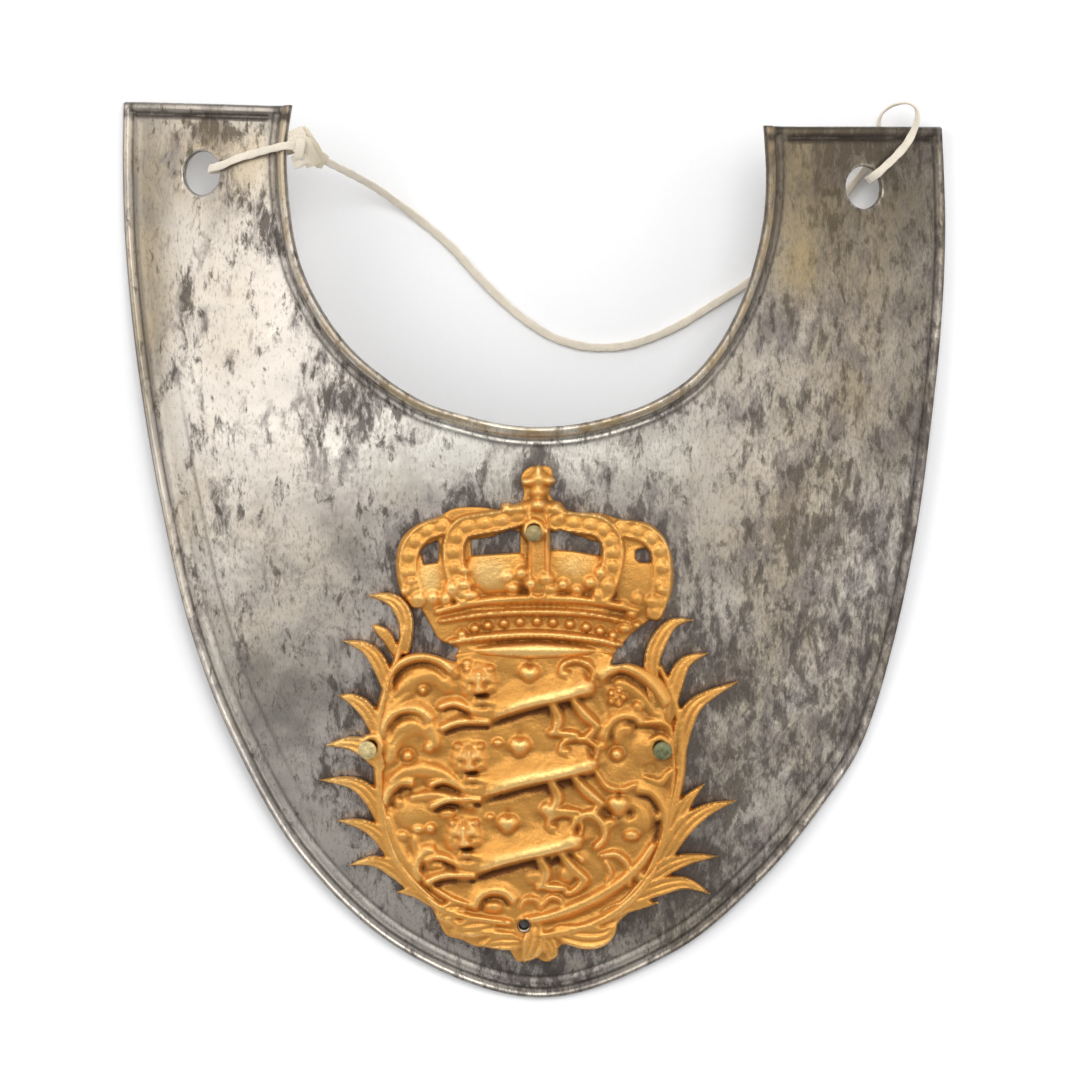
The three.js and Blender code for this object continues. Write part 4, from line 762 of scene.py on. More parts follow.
class Relief:
    """A patch of the casting. height is how high its front stands over the plate, inside is how far a place
    lies within its outline, negative outside, and a third array holds how rubbed it is together with painted
    highlight and shade. Features are laid on with whole arrays."""

    def __init__(self, low, high, step):
        self.step = step
        self.x, self.y = np.meshgrid(
            np.arange(low[0], high[0] + step, step), np.arange(low[1], high[1] + step, step), indexing="ij")
        self.height = np.full(self.x.shape, CAST_START)
        self.inside = np.full(self.x.shape, -50.0)
        self.rub_and_light = np.zeros(self.x.shape)

    def window(self, low, high):
        """The part of the grid that a feature can reach, as two slices, or None where it reaches none."""
        spans = []
        for axis, values in ((0, self.x[:, 0]), (1, self.y[0])):
            first, last = np.searchsorted(values, (low[axis], high[axis]))
            if last - first < 2:
                return None
            spans.append(slice(first, last))
        return tuple(spans)

    def ground(self, outline):
        """Flat ground inside a rounded outline, by the signed distance to its nearest side."""
        inside = polygon_distance(self.x, self.y, rounded(outline))
        self.inside = np.maximum(self.inside, inside)
        self.height = np.where(inside > -0.4, np.maximum(self.height, CAST_GROUND), self.height)

    def pierce(self, outline):
        """A gap through the casting: inside becomes at most minus the depth within the gap."""
        self.inside = np.minimum(self.inside, -polygon_distance(self.x, self.y, outline))

    def mark_rub_and_light(self, x, y, half_x, half_y, amount):
        """Marks a place as rubbed bright and with painted highlight, or with painted shade where the amount
        is negative.
        """
        self.rub_and_light += amount * bell(np.hypot((self.x - x) / half_x, (self.y - y) / half_y), 1)

    def mark_rub_and_light_line(self, path, reach, amount):
        """The same along a line, fading at its ends."""
        spot, away, along, _ = self.near_line(path, 3 * reach)
        if spot is not None:
            self.rub_and_light[spot] += amount * bell(away, reach) * np.sqrt(np.clip(4 * along * (1 - along), 0, 1))

    def hole(self, x, y, radius):
        """A round hole through the casting: inside is at most the distance from its edge."""
        self.inside = np.minimum(self.inside, np.hypot(self.x - x, self.y - y) - radius)

    def near_line(self, path, reach):
        """The window round a line, and there the distance from it, the share along it and its side."""
        line = spline(path, np.linspace(0, 1, max(10, int(path_length(path) / 0.6))))
        spot = self.window(line.min(0) - reach, line.max(0) + reach)
        if spot is None:
            return None, None, None, None
        return (spot, *from_line(self.x[spot], self.y[spot], line))

    def raise_to(self, spot, rise):
        """Melts a form into what is there: half of the sum of both heights and of the root of their squared
        difference and a small square, which rounds the corner between them."""
        here = self.height[spot]
        melted = (here + rise + np.sqrt((here - rise) ** 2 + 0.05)) / 2
        self.height[spot] = np.where(rise > 0, np.maximum(here, melted - 0.02), here)

    def bar(self, path, width, height, form, edge=True, skirt=0.0):
        """A raised line. form gives how full it is along its way, and its height as a share by place along
        and across. A skirt adds a wide low bell under it."""
        fullness, profile = form
        spot, away, along, side = self.near_line(path, width / 2 + 1 + 2 * skirt * width)
        if spot is None:
            return
        half = width / 2 * fullness(along)
        across = np.clip(away / half, 0, 1)
        rise = height - CAST_ROOT
        if skirt:
            self.raise_to(spot, CAST_ROOT + rise * 0.62 * bell(away / half, 1 + 2 * skirt))
        self.raise_to(spot, np.where(away < half, CAST_ROOT + rise * profile(along, across * side), 0))
        if edge:
            self.inside[spot] = np.maximum(self.inside[spot], half - away)

    def hood(self, path, height, gentle, steep, hollow, taper=0.12):
        """A ridge that is a wide bell on the left of its line and a narrow one on the right, tapering at
        both ends, with a hollow bell pressed in along its steep side. The ridge gets a painted highlight and
        the hollow gets painted shade."""
        gentle = GENTLE_SPREAD * gentle
        spot, away, along, side = self.near_line(path, 2.2 * gentle)
        if spot is None:
            return
        off = away * side
        strength = np.sqrt(np.clip(along / taper, 0, 1) * np.clip((1 - along) / (0.5 * taper), 0, 1))
        slope = np.where(off > 0, bell(off, gentle), bell(off, steep))
        self.height[spot] -= hollow * strength * bell(off + 1.9 * steep, 0.9 * steep) * (away < 4 * steep)
        self.raise_to(spot, CAST_ROOT + (height - CAST_ROOT) * slope * (0.35 + 0.65 * strength))
        # Painted highlight on the gentle side of the ridge and painted shade over the hollow
        lit, shaded = bell(off - 0.2 * gentle, 0.5 * gentle), bell(off + 1.9 * steep, 1.1 * steep)
        self.rub_and_light[spot] += strength * (0.15 * lit - 0.35 * shaded) * (away < 2 * gentle)

    def groove(self, path, width, depth):
        """A bell-shaped furrow along a line, shallower towards its ends."""
        spot, away, along, _ = self.near_line(path, 3 * width)
        if spot is not None:
            self.height[spot] -= depth * bell(away, width) * np.sqrt(np.clip(4 * along * (1 - along), 0, 1))

    def ring(self, x, y, radius, width, depth):
        """A furrow in a ring."""
        reach = radius + 3 * width
        spot = self.window((x - reach, y - reach), (x + reach, y + reach))
        if spot is not None:
            self.height[spot] -= depth * bell(np.hypot(self.x[spot] - x, self.y[spot] - y) - radius, width)

    def dome(self, x, y, half_x, half_y, height, power=0.5, edge=False, point=2.0):
        """A swelling on an oval foot: its height falls as (1 - r squared) to a power, r being 1 at the foot.
        A smaller point draws the oval to points at its left and right."""
        spot = self.window((x - half_x - 1, y - half_y - 1), (x + half_x + 1, y + half_y + 1))
        if spot is None:
            return
        out = (np.abs(self.x[spot] - x) / half_x) ** point + ((self.y[spot] - y) / half_y) ** 2
        rise = (height - CAST_ROOT) * np.clip(1 - out, 0, 1) ** power
        self.raise_to(spot, np.where(out < 1, CAST_ROOT + rise, 0))
        if edge:
            self.inside[spot] = np.maximum(self.inside[spot], (1 - np.sqrt(out)) * min(half_x, half_y))

    def press(self, x, y, half_x, half_y, depth):
        """Adds a bell: a bump where depth is positive, a pit where it is negative."""
        spot = self.window((x - 3 * half_x, y - 3 * half_y), (x + 3 * half_x, y + 3 * half_y))
        if spot is not None:
            out = np.hypot((self.x[spot] - x) / half_x, (self.y[spot] - y) / half_y)
            self.height[spot] += depth * bell(out, 1)

    def beads(self, path, radius, spacing, rise):
        """A row of half balls along a line, standing on what is there."""
        places = spline(path, np.linspace(0, 1, max(2, int(path_length(path) / spacing) + 1)))
        for bead_x, bead_y in places:
            spot = self.window((bead_x - radius, bead_y - radius), (bead_x + radius, bead_y + radius))
            if spot is None:
                continue
            out = np.hypot(self.x[spot] - bead_x, self.y[spot] - bead_y) / radius
            self.height[spot] += rise * np.sqrt(np.clip(1 - out**2, 0, 1))


def rounded(outline):
    """A closed outline through the same corners with its sides curved, as a closed Catmull-Rom line."""
    corners = np.array(outline, float)
    around = np.vstack([corners[-2:], corners, corners[:3]])
    shares = np.linspace(2, len(corners) + 2, 4 * len(corners) + 1)[:-1] / (len(around) - 1)
    return spline(around, shares)


def path_length(path):
    """The sum of the steps between a line's points."""
    return float(np.linalg.norm(np.diff(np.array(path, float), axis=0), axis=1).sum())


def polygon_distance(x, y, outline):
    """Signed distance to a polygon, positive inside: the least distance to its sides, with its sign from how
    often a ray to the right crosses them."""
    corners = np.array(outline, float)
    least = np.full(x.shape, 1e9)
    odd = np.zeros(x.shape, bool)
    for (ax, ay), (bx, by) in zip(corners, np.roll(corners, -1, axis=0)):
        run_x, run_y = bx - ax, by - ay
        share = np.clip(((x - ax) * run_x + (y - ay) * run_y) / (run_x**2 + run_y**2), 0, 1)
        least = np.minimum(least, np.hypot(x - ax - share * run_x, y - ay - share * run_y))
        if ay != by:
            odd ^= ((ay > y) != (by > y)) & (x < ax + (y - ay) * run_x / run_y)
    return np.where(odd, least, -least)


def from_line(x, y, line):
    """Distance from a line of short stretches, the share of the way along it, and the side, from the nearest
    stretch to each place."""
    away, along, side = np.full(x.shape, 1e9), np.zeros(x.shape), np.ones(x.shape)
    count = len(line) - 1
    for k, ((ax, ay), (bx, by)) in enumerate(zip(line[:-1], line[1:])):
        run_x, run_y = bx - ax, by - ay
        share = np.clip(((x - ax) * run_x + (y - ay) * run_y) / (run_x**2 + run_y**2), 0, 1)
        off_x, off_y = x - ax - share * run_x, y - ay - share * run_y
        gap = np.hypot(off_x, off_y)
        near = gap < away
        away = np.where(near, gap, away)
        along = np.where(near, (k + share) / count, along)
        side = np.where(near, np.where(run_x * off_y - run_y * off_x > 0, 1.0, -1.0), side)
    return away, along, side


# A bar's form: how full it is along its way, and its height as a share by place along and across
ROUND = (lambda along: 0.62 + 0.38 * np.sin(np.pi * along), lambda along, side: np.sqrt(1 - side**2 * 0.98))
LEAF = (
    lambda along: np.clip(np.sin(np.pi * (0.2 + 0.8 * along)), 0.1, 1),
    lambda along, side: (
        0.5 + 0.3 * np.sin(np.pi * along) + 0.42 * np.abs(side) ** 2.2 - 0.25 * np.abs(side) ** 14
        + 0.34 * bell(side, 0.14) - 0.12 * bell(np.abs(side) - 0.34, 0.12)
    ),
)
ARCH = (
    lambda along: 0.9 + 0.1 * np.sin(np.pi * along),
    lambda along, side: 0.66 + 0.34 * bell(np.abs(side) - 0.84, 0.13) - 0.3 * np.abs(side) ** 20,
)


def lay_crown(relief):
    """The crown: panels, arches with beads, cross and orb, leafy lumps, the circlet's ridges and bosses, and
    the rubbed places with painted highlight and painted shade."""
    relief.ground(CROWN_OUTLINE)
    for x, y, half_x, half_y, height in CROWN_PANELS:
        relief.dome(x, y, half_x, half_y, height, power=0.3)
    for width, height, path in ARCHES[:4]:
        relief.bar(path, width + 0.3, height - 0.3, ARCH)
        relief.beads(path, 1.25, 2.8, 0.6)
    relief.bar(ARCHES[4][2], 4.4, 3.9, ARCH)
    relief.bar(((2.6, 4.0), (2.6, -4.0)), 1.1, 4.3, ROUND, edge=False)
    for width, height, path in CROWN_BARS:
        relief.bar(path, width, height, ROUND)
    for x, y, radius, height in CROWN_LUMPS:
        wide, tall = 1.25 + 0.2 * math.sin(3.1 * x + y), 1.05 + 0.2 * math.sin(2.3 * x - 1.7 * y)
        relief.dome(x, y, radius * wide, radius * tall, height, power=0.75, edge=y > 5)
    relief.groove(((-13.2, -10.2), (-6.8, -8.6), (0.6, -8.6), (8.0, -8.7), (13.6, -10.0)), 0.4, 0.5)
    relief.beads(BEAD_ROW, 0.55, 1.15, 0.45)
    relief.beads([(x, y - 1.0) for x, y in BEAD_ROW], 0.5, 1.15, 0.35)
    for x, y in BOSS_ROW:
        relief.dome(x, y, 1.1, 1.0, 3.1)
        relief.ring(x, y, 1.15, 0.28, 0.3)
    relief.beads(((-15.6, -18.7), (-8.0, -17.7), (0.6, -17.2), (9.0, -17.8), (16.0, -19.2)), 0.5, 1.1, 0.4)
    relief.groove(((-13.0, -19.2), (0.4, -18.1), (13.6, -19.6)), 0.4, 0.7)
    relief.dome(0.2, -20.1, 12.4, 1.8, 3.6, point=1.5, edge=True)
    # Rubbed places with painted highlight, and painted shade on the crown's right
    for place in CROWN_RUB_AND_LIGHT:
        relief.mark_rub_and_light(*place)
    for outline in PIERCED_GAPS:
        relief.pierce(outline)


def lay_beast(relief, face_x, face_y, stretch):
    """One walking beast with its face turned to the viewer: body, legs, tail and toes, a mane whose height
    waves round the face, muzzle, ears and eyes, then its painted highlights and painted shade."""

    def placed(x, y):
        return face_x + x * (stretch if x > 0 else 1), face_y + y

    for x, y, half_x, half_y, height in BEAST_LUMPS:
        relief.dome(*placed(x, y), half_x, half_y, height, power=0.6)
    for height, gentle, steep, hollow, path in BEAST_HOODS:
        relief.hood([placed(*point) for point in path], height, gentle, steep, hollow)
    for width, height, path in BEAST_BARS:
        relief.bar([placed(*point) for point in path], width, height, ROUND, edge=False, skirt=0.12)
    for x, y in ((-7.9, -8.9), (-8.2, -4.4), (14.2, -9.8), (19.7, -11.2)):
        for toe in (-0.5, 0.15):
            relief.press(*placed(x - 0.3, y + toe), 0.5, 0.2, -0.35)
    for lock in range(9):
        start = -2.6 + 0.95 * lock
        hair = [placed(start, -3.6 - 0.1 * lock), placed(start + 0.7, -5.6), placed(start + 0.3, -7.2)]
        relief.groove(hair, 0.26, 0.4)
    spot = relief.window((face_x - 5, face_y - 6), (face_x + 5, face_y + 6))
    if spot is None:
        return
    off_x, off_y = relief.x[spot] - face_x, relief.y[spot] - face_y
    out = np.hypot(off_x / 4.4, (off_y - 0.2) / 5.0)
    turn = np.arctan2(off_y, off_x)
    locks = 0.5 + 0.5 * np.cos(13 * turn + 4 * out)
    mane = 0.75 + (2.7 + 0.7 * locks * np.clip(out * 2.4 - 0.9, 0, 1)) * np.clip(1 - out**2, 0, 1) ** 0.9
    relief.raise_to(spot, np.where(out < 1, mane, 0))
    relief.dome(face_x, face_y + 0.4, 2.3, 3.3, 4.2, power=0.5)
    relief.dome(face_x + 0.2, face_y - 1.0, 1.5, 1.2, 4.8)
    relief.dome(face_x + 0.5, face_y - 3.1, 1.4, 0.9, 4.2)
    relief.bar([(face_x - 0.1, face_y + 2.8), (face_x, face_y - 0.9)], 1.35, 5.2, ROUND, edge=False)
    relief.dome(face_x - 0.1, face_y + 2.2, 1.5, 0.8, 4.7)
    for sign in (-1, 1):
        relief.dome(face_x + sign * 2.3, face_y + 3.3, 1.0, 0.8, 3.7, power=0.8)
        relief.press(face_x + sign * 1.35, face_y + 0.2, 0.7, 0.5, -1.3)
        relief.press(face_x + sign * 1.4, face_y + 0.15, 0.22, 0.2, 0.45)
        relief.press(face_x + sign * 1.4, face_y + 1.3, 0.8, 0.25, 0.35)
        # Painted shade in the eye pits
        relief.mark_rub_and_light(face_x + sign * 1.35, face_y + 0.1, 0.9, 0.6, -0.7)
    relief.press(face_x + 0.4, face_y - 2.1, 1.5, 0.5, -1.7)
    relief.press(face_x + 0.8, face_y - 4.3, 1.5, 0.5, -1.0)
    # Painted highlight on the brow and nose, and painted shade in the mouth and under the chin
    relief.mark_rub_and_light(face_x + 0.1, face_y + 2.0, 1.8, 1.7, 1.2)
    relief.mark_rub_and_light(face_x + 0.1, face_y - 0.5, 0.7, 0.9, 0.7)
    relief.mark_rub_and_light(face_x + 0.7, face_y - 1.9, 1.9, 0.6, -1.1)
    relief.mark_rub_and_light(face_x + 1.2, face_y - 4.2, 2.4, 0.7, -0.9)
    for reach, amount, path in BEAST_PAINTED_LIGHT:
        relief.mark_rub_and_light_line([placed(*point) for point in path], reach, amount)


def lay_heart(relief, x, y, half=2.3, height=3.1):
    """A heart: a round swelling, notched at the top and pressed in at both sides of its point."""
    relief.dome(x, y, 1.15 * half, 1.05 * half, height, power=0.55)
    relief.press(x, y + 0.9 * half, 0.24 * half, 0.4 * half, -1.3)
    for sign in (-1, 1):
        relief.press(x + sign * 0.95 * half, y - 0.7 * half, 0.45 * half, 0.45 * half, -1.6)
    # Painted highlight at the heart's upper left and painted shade at its point
    relief.mark_rub_and_light(x - 0.2 * half, y + 0.2 * half, 0.6 * half, 0.5 * half, 0.5)
    relief.mark_rub_and_light(x + 0.2 * half, y - 1.3 * half, 0.7 * half, 0.35 * half, -0.6)


def lay_shield(relief):
    """The shield: ground that rolls as crossed waves, lobes, scrolls with hollows under them, lumps, hearts,
    beasts, a rose, rings and low leaves. Its right side gets painted shade."""
    relief.ground(SHIELD_OUTLINE)
    x, y = relief.x, relief.y
    rolling = np.sin(0.9 * x + 1.3 * np.sin(0.5 * y)) * np.sin(0.8 * y + 1.1 * np.sin(0.45 * x)) * 0.14
    relief.height += np.where(relief.inside > 0, rolling + 0.1, 0)
    for width, height, path in LOBES:
        relief.bar(path, width, height, ROUND, edge=False, skirt=0.35)
    for height, gentle, steep, hollow, path in HOODS:
        relief.hood(path, height, gentle, steep, hollow)
    for lump in LUMPS:
        relief.dome(*lump)
    for width, depth, path in GROOVES:
        relief.groove(path, width, depth)
    for pit_x, pit_y, reach_x, reach_y, depth in PITS:
        relief.press(pit_x, pit_y, reach_x, reach_y, -depth)
    for heart_x, heart_y in HEARTS:
        lay_heart(relief, heart_x, heart_y)
    lay_heart(relief, 17.0, -51.2, 2.4, 3.3)
    for face_x, face_y, stretch in BEASTS:
        lay_beast(relief, face_x, face_y, stretch)
    for petal in np.linspace(0, 2 * math.pi, 6)[:-1]:
        petal_x = ROSETTE["x"] + ROSETTE["radius"] * math.cos(petal)
        petal_y = ROSETTE["y"] + ROSETTE["radius"] * math.sin(petal)
        relief.dome(petal_x, petal_y, 0.75, 0.75, ROSETTE["height"])
    relief.dome(ROSETTE["x"], ROSETTE["y"], 0.6, 0.6, ROSETTE["height"] + 0.1)
    for ring_x, ring_y, radius in RINGS:
        relief.ring(ring_x, ring_y, radius, 0.3, 0.45)
    for width, height, path in LOW_LEAVES:
        relief.bar(path, width, height, LEAF)
    # Painted shade on the shield's right side
    relief.mark_rub_and_light(28.0, -46.0, 14.0, 26.0, -0.45)


def lay_branches(relief):
    """The two leafy branches: leaves with a midrib and turned-up edges on round stems."""
    for width, height, path in LEAVES:
        relief.bar(path, width, height, LEAF)
    for width, height, path in STEMS:
        relief.bar(path, width, height, ROUND)
    # Painted shade on the right branch
    relief.mark_rub_and_light(34.0, -46.0, 20.0, 40.0, -0.4)


def lay_pin_pads(relief):
    """A round pad under each pin's head, its bore, and the empty hole at the bottom."""
    for x, y, head, pad in PINS.values():
        relief.dome(x, y, head + 0.6, head + 0.6, pad, power=0.04, edge=True)
        relief.hole(x, y, PIN["bore"])
    relief.hole(*EMPTY_PIN_HOLE)


# The casting's pieces
PATCHES = {
    # lower left corner, upper right corner, share of the grid's spacing, what is laid there
    "gilt_crown": ((-30, -24), (30, 19), 1.0, lay_crown),
    "gilt_shield": ((-33, -85), (32, -17), 1.15, lay_shield),
    "gilt_branch_left": ((-46, -76), (-14, -6), 1.1, lay_branches),
    "gilt_branch_right": ((10, -78), (44, -11), 1.1, lay_branches),
}


def soften(values, rounds):
    """Averages each place with its four neighbours, a number of times."""
    for _ in range(rounds):
        edge = np.pad(values, 1, mode="edge")
        values = (edge[2:, 1:-1] + edge[:-2, 1:-1] + edge[1:-1, 2:] + edge[1:-1, :-2] + 2 * values) / 6
    return values


def corners_of(cells):
    """The values at each grid cell's four corners: lower left, lower right, upper left, upper right."""
    return cells[:-1, :-1], cells[1:, :-1], cells[:-1, 1:], cells[1:, 1:]


def cast_mesh(name, relief):
    """A closed mesh of a patch. Cells with a corner inside are kept, and those round a place where two cells
    meet only corner to corner. The outer corners are drawn in along the slope of the inside distance until
    it is nought, the front takes the height rounded off at the outline, the back follows the plate, and
    walls join the two all round. Two marks say how far a place lies under or over its softened surroundings,
    for painted shade in low places and painted highlight on high ones."""
    inside, step = relief.inside, relief.step
    kept = np.logical_or.reduce([corner > 0 for corner in corners_of(inside)])
    for _ in range(3):
        here, right, up, across = corners_of(np.pad(kept, 1))
        touch = (here & across & ~right & ~up) | (~here & ~across & right & up)
        kept = np.logical_or.reduce([kept, *corners_of(touch)])
    slope_x, slope_y = np.gradient(soften(inside, 1), step)
    steep = np.maximum(slope_x**2 + slope_y**2, 0.3)
    draw = np.where(inside < 0, np.clip(inside, -1.5 * step, 0) / steep, 0)
    x, y = relief.x - slope_x * draw, relief.y - slope_y * draw
    height = soften(relief.height, 2)
    rounding = np.clip(np.maximum(inside, 0) / 0.45, 0, 1)
    lip = CAST_BACK + 0.25
    front = lip + (height - lip) * np.sqrt(1 - (1 - rounding) ** 2)
    # Painted shade in places lower than their softened surroundings and painted highlight on higher ones
    wide = soften(relief.height, 14)
    broad = soften(wide, 80)
    recess_shade = np.clip(0.6 * (wide - height) / 0.7 + 0.5 * (broad - height) / 0.9, 0, 1)
    crest_highlight = np.clip(0.5 * (height - wide) / 0.7 + 0.5 * (height - broad) / 1.1, 0, 1)
    count = inside.size
    low_left, low_right, up_left, up_right = corners_of(np.arange(count).reshape(inside.shape))
    cells = np.stack([low_left, low_right, up_right, up_left], -1)[kept]
    outer = np.pad(kept, 1)
    sides = []
    for neighbour, first, second in (
        (outer[:-2, 1:-1], up_left, low_left), (outer[2:, 1:-1], low_right, up_right),
        (outer[1:-1, :-2], low_left, low_right), (outer[1:-1, 2:], up_right, up_left),
    ):
        bare = kept & ~neighbour
        sides.append(np.stack([second[bare], first[bare], first[bare] + count, second[bare] + count], -1))
    face = face_height(x, y)
    points = np.concatenate([np.stack([x, y, face + front], -1).reshape(-1, 3),
                             np.stack([x, y, face + CAST_BACK], -1).reshape(-1, 3)])
    faces = np.concatenate([cells, cells[:, ::-1] + count, np.concatenate(sides)])
    used, packed = np.unique(faces, return_inverse=True)
    marks = {label: np.tile(values.ravel(), 2)[used]
             for label, values in (("recess_shade", recess_shade), ("crest_highlight", crest_highlight), ("rub_and_light", relief.rub_and_light))}
    return new_piece(name, points[used], [packed.reshape(-1, 4)], marks, smooth_angle=60)


def distance_from_casting(x, y):
    """How far a place of the plate lies from the casting, for the tarnish beside it: the rough distance at
    the nearest place of a coarse grid of the whole casting, and the way there from outside that grid."""
    relief = Relief((-48, -92), (48, 26), 0.8)
    relief.ground(CROWN_OUTLINE)
    relief.ground(SHIELD_OUTLINE)
    lay_branches(relief)
    reach = spread_distance(relief.inside > -1, relief.step)
    column = np.clip(np.round((x - relief.x[0, 0]) / relief.step).astype(int), 0, reach.shape[0] - 1)
    row = np.clip(np.round((y - relief.y[0, 0]) / relief.step).astype(int), 0, reach.shape[1] - 1)
    off = np.hypot(x - relief.x[column, row], y - relief.y[column, row])
    return reach[column, row] + np.where(off > relief.step, off, 0)


def spread_distance(marked, step):
    """Rough distance from the marked places: in each round, a place takes the least of its neighbours'
    values plus the way to them, which is 1.4 steps aslant."""
    far = 99.0
    reach = np.where(marked, 0.0, far)
    columns, rows = reach.shape
    for _ in range(24):
        edge = np.pad(reach, 1, constant_values=far)
        for aside in (0, 1, 2):
            for up in (0, 1, 2):
                way = (0, 1, 1.4)[abs(aside - 1) + abs(up - 1)] * step
                reach = np.minimum(reach, edge[aside : aside + columns, up : up + rows] + way)
    return reach


# The pins


def make_pin(name):
    """A turned pin: a flat tail behind the plate, a shank and a low round head with a soft edge."""
    x, y, head, pad = PINS[name]
    seat = pad + PIN["clear"]
    back = -THICKNESS - PIN["clear"]
    turn = np.linspace(0, math.pi / 2, 8)
    dome = [(head * math.cos(t), seat + 0.18 + (PIN["rise"] - 0.18) * math.sin(t)) for t in turn[:-1]]
    profile = [
        (0.02, back - PIN["tail_rise"]), (PIN["tail_radius"] * 0.8, back - PIN["tail_rise"]),
        (PIN["tail_radius"], back - PIN["tail_rise"] * 0.6), (PIN["tail_radius"], back),
        (PIN["shank"], back), (PIN["shank"], seat), (head, seat), *dome, (0.02, seat + PIN["rise"]),
    ]
    points, faces = turned_solid(profile, 32, x, y)
    return new_piece(name + "_head", points, faces, smooth_angle=50)


# The tape


def ribbon(route, laterals, width, thickness, count):
    """A flat tape along a route. Its section is a rounded oblong, a little cupped and of uneven width, both
    in slow waves. It lies across the lateral given for each stretch of the way, squared to the line. Gives
    its points, faces and UVs, and the line that it follows."""
    line = spline(route, np.linspace(0, 1, count * 3), ends="mirrored")
    way = np.concatenate([[0], np.cumsum(np.linalg.norm(np.diff(line, axis=0), axis=1))])
    even = np.linspace(0, way[-1], count)
    line = np.stack([np.interp(even, way, line[:, k]) for k in range(3)], -1)
    ahead = np.gradient(line, axis=0)
    ahead /= np.linalg.norm(ahead, axis=1, keepdims=True)
    across = spline(laterals, np.linspace(0, 1, count))
    across -= (across * ahead).sum(1, keepdims=True) * ahead
    across /= np.linalg.norm(across, axis=1, keepdims=True)
    up = np.cross(across, ahead)
    corners = 20
    turn = np.linspace(0, 2 * math.pi, corners, endpoint=False)
    oblong_x = np.sign(np.cos(turn)) * np.abs(np.cos(turn)) ** 0.55
    oblong_y = np.sign(np.sin(turn)) * np.abs(np.sin(turn)) ** 0.8
    narrow = 1 + 0.05 * np.sin(even * 1.7) + 0.04 * np.sin(even * 0.6 + 1)
    cup = 0.12 * thickness * np.sin(even * 0.9)
    wide = (width / 2 * narrow)[:, None] * oblong_x
    thick = thickness / 2 * oblong_y + cup[:, None] * (oblong_x**2 - 0.5)
    points = line[:, None] + wide[..., None] * across[:, None] + thick[..., None] * up[:, None]
    uv = np.stack(np.broadcast_arrays(even[:, None] * MM, wide * MM), -1).reshape(-1, 2)
    ends = [np.arange(corners)[None], (corners * (count - 1) + np.arange(corners))[::-1][None]]
    return points.reshape(-1, 3), [ring_faces(count, corners), *ends], uv, line


def joined(parts):
    """Several meshes as one: their points and UVs stacked, and their faces counted on from the last."""
    points, faces, uvs, start = [], [], [], 0
    for part_points, part_faces, part_uv in parts:
        points.append(part_points)
        faces += [group + start for group in part_faces]
        uvs.append(part_uv)
        start += len(part_points)
    return np.vstack(points), faces, np.vstack(uvs)


def make_knot(name, middle, strands, width, thickness):
    """A knot of folded flat tape: strands about its middle, each a ribbon along its own line, lying across
    its own sideways directions, with its own share of the tape's width. It is more aged on its right."""
    parts = []
    for share, laterals, route in strands:
        places = np.array(middle) + np.array(route, float)
        length = path_length(places)
        parts.append(ribbon(places, laterals, width * share, thickness, max(24, int(4 * length)))[:3])
    points, faces, uv = joined(parts)
    aged = np.clip(0.35 + (points[:, 0] - middle[0]) / 4, 0.25, 1)
    return new_piece(name, points, faces, {"aged": aged}, uv, smooth_angle=70)


# Finishes


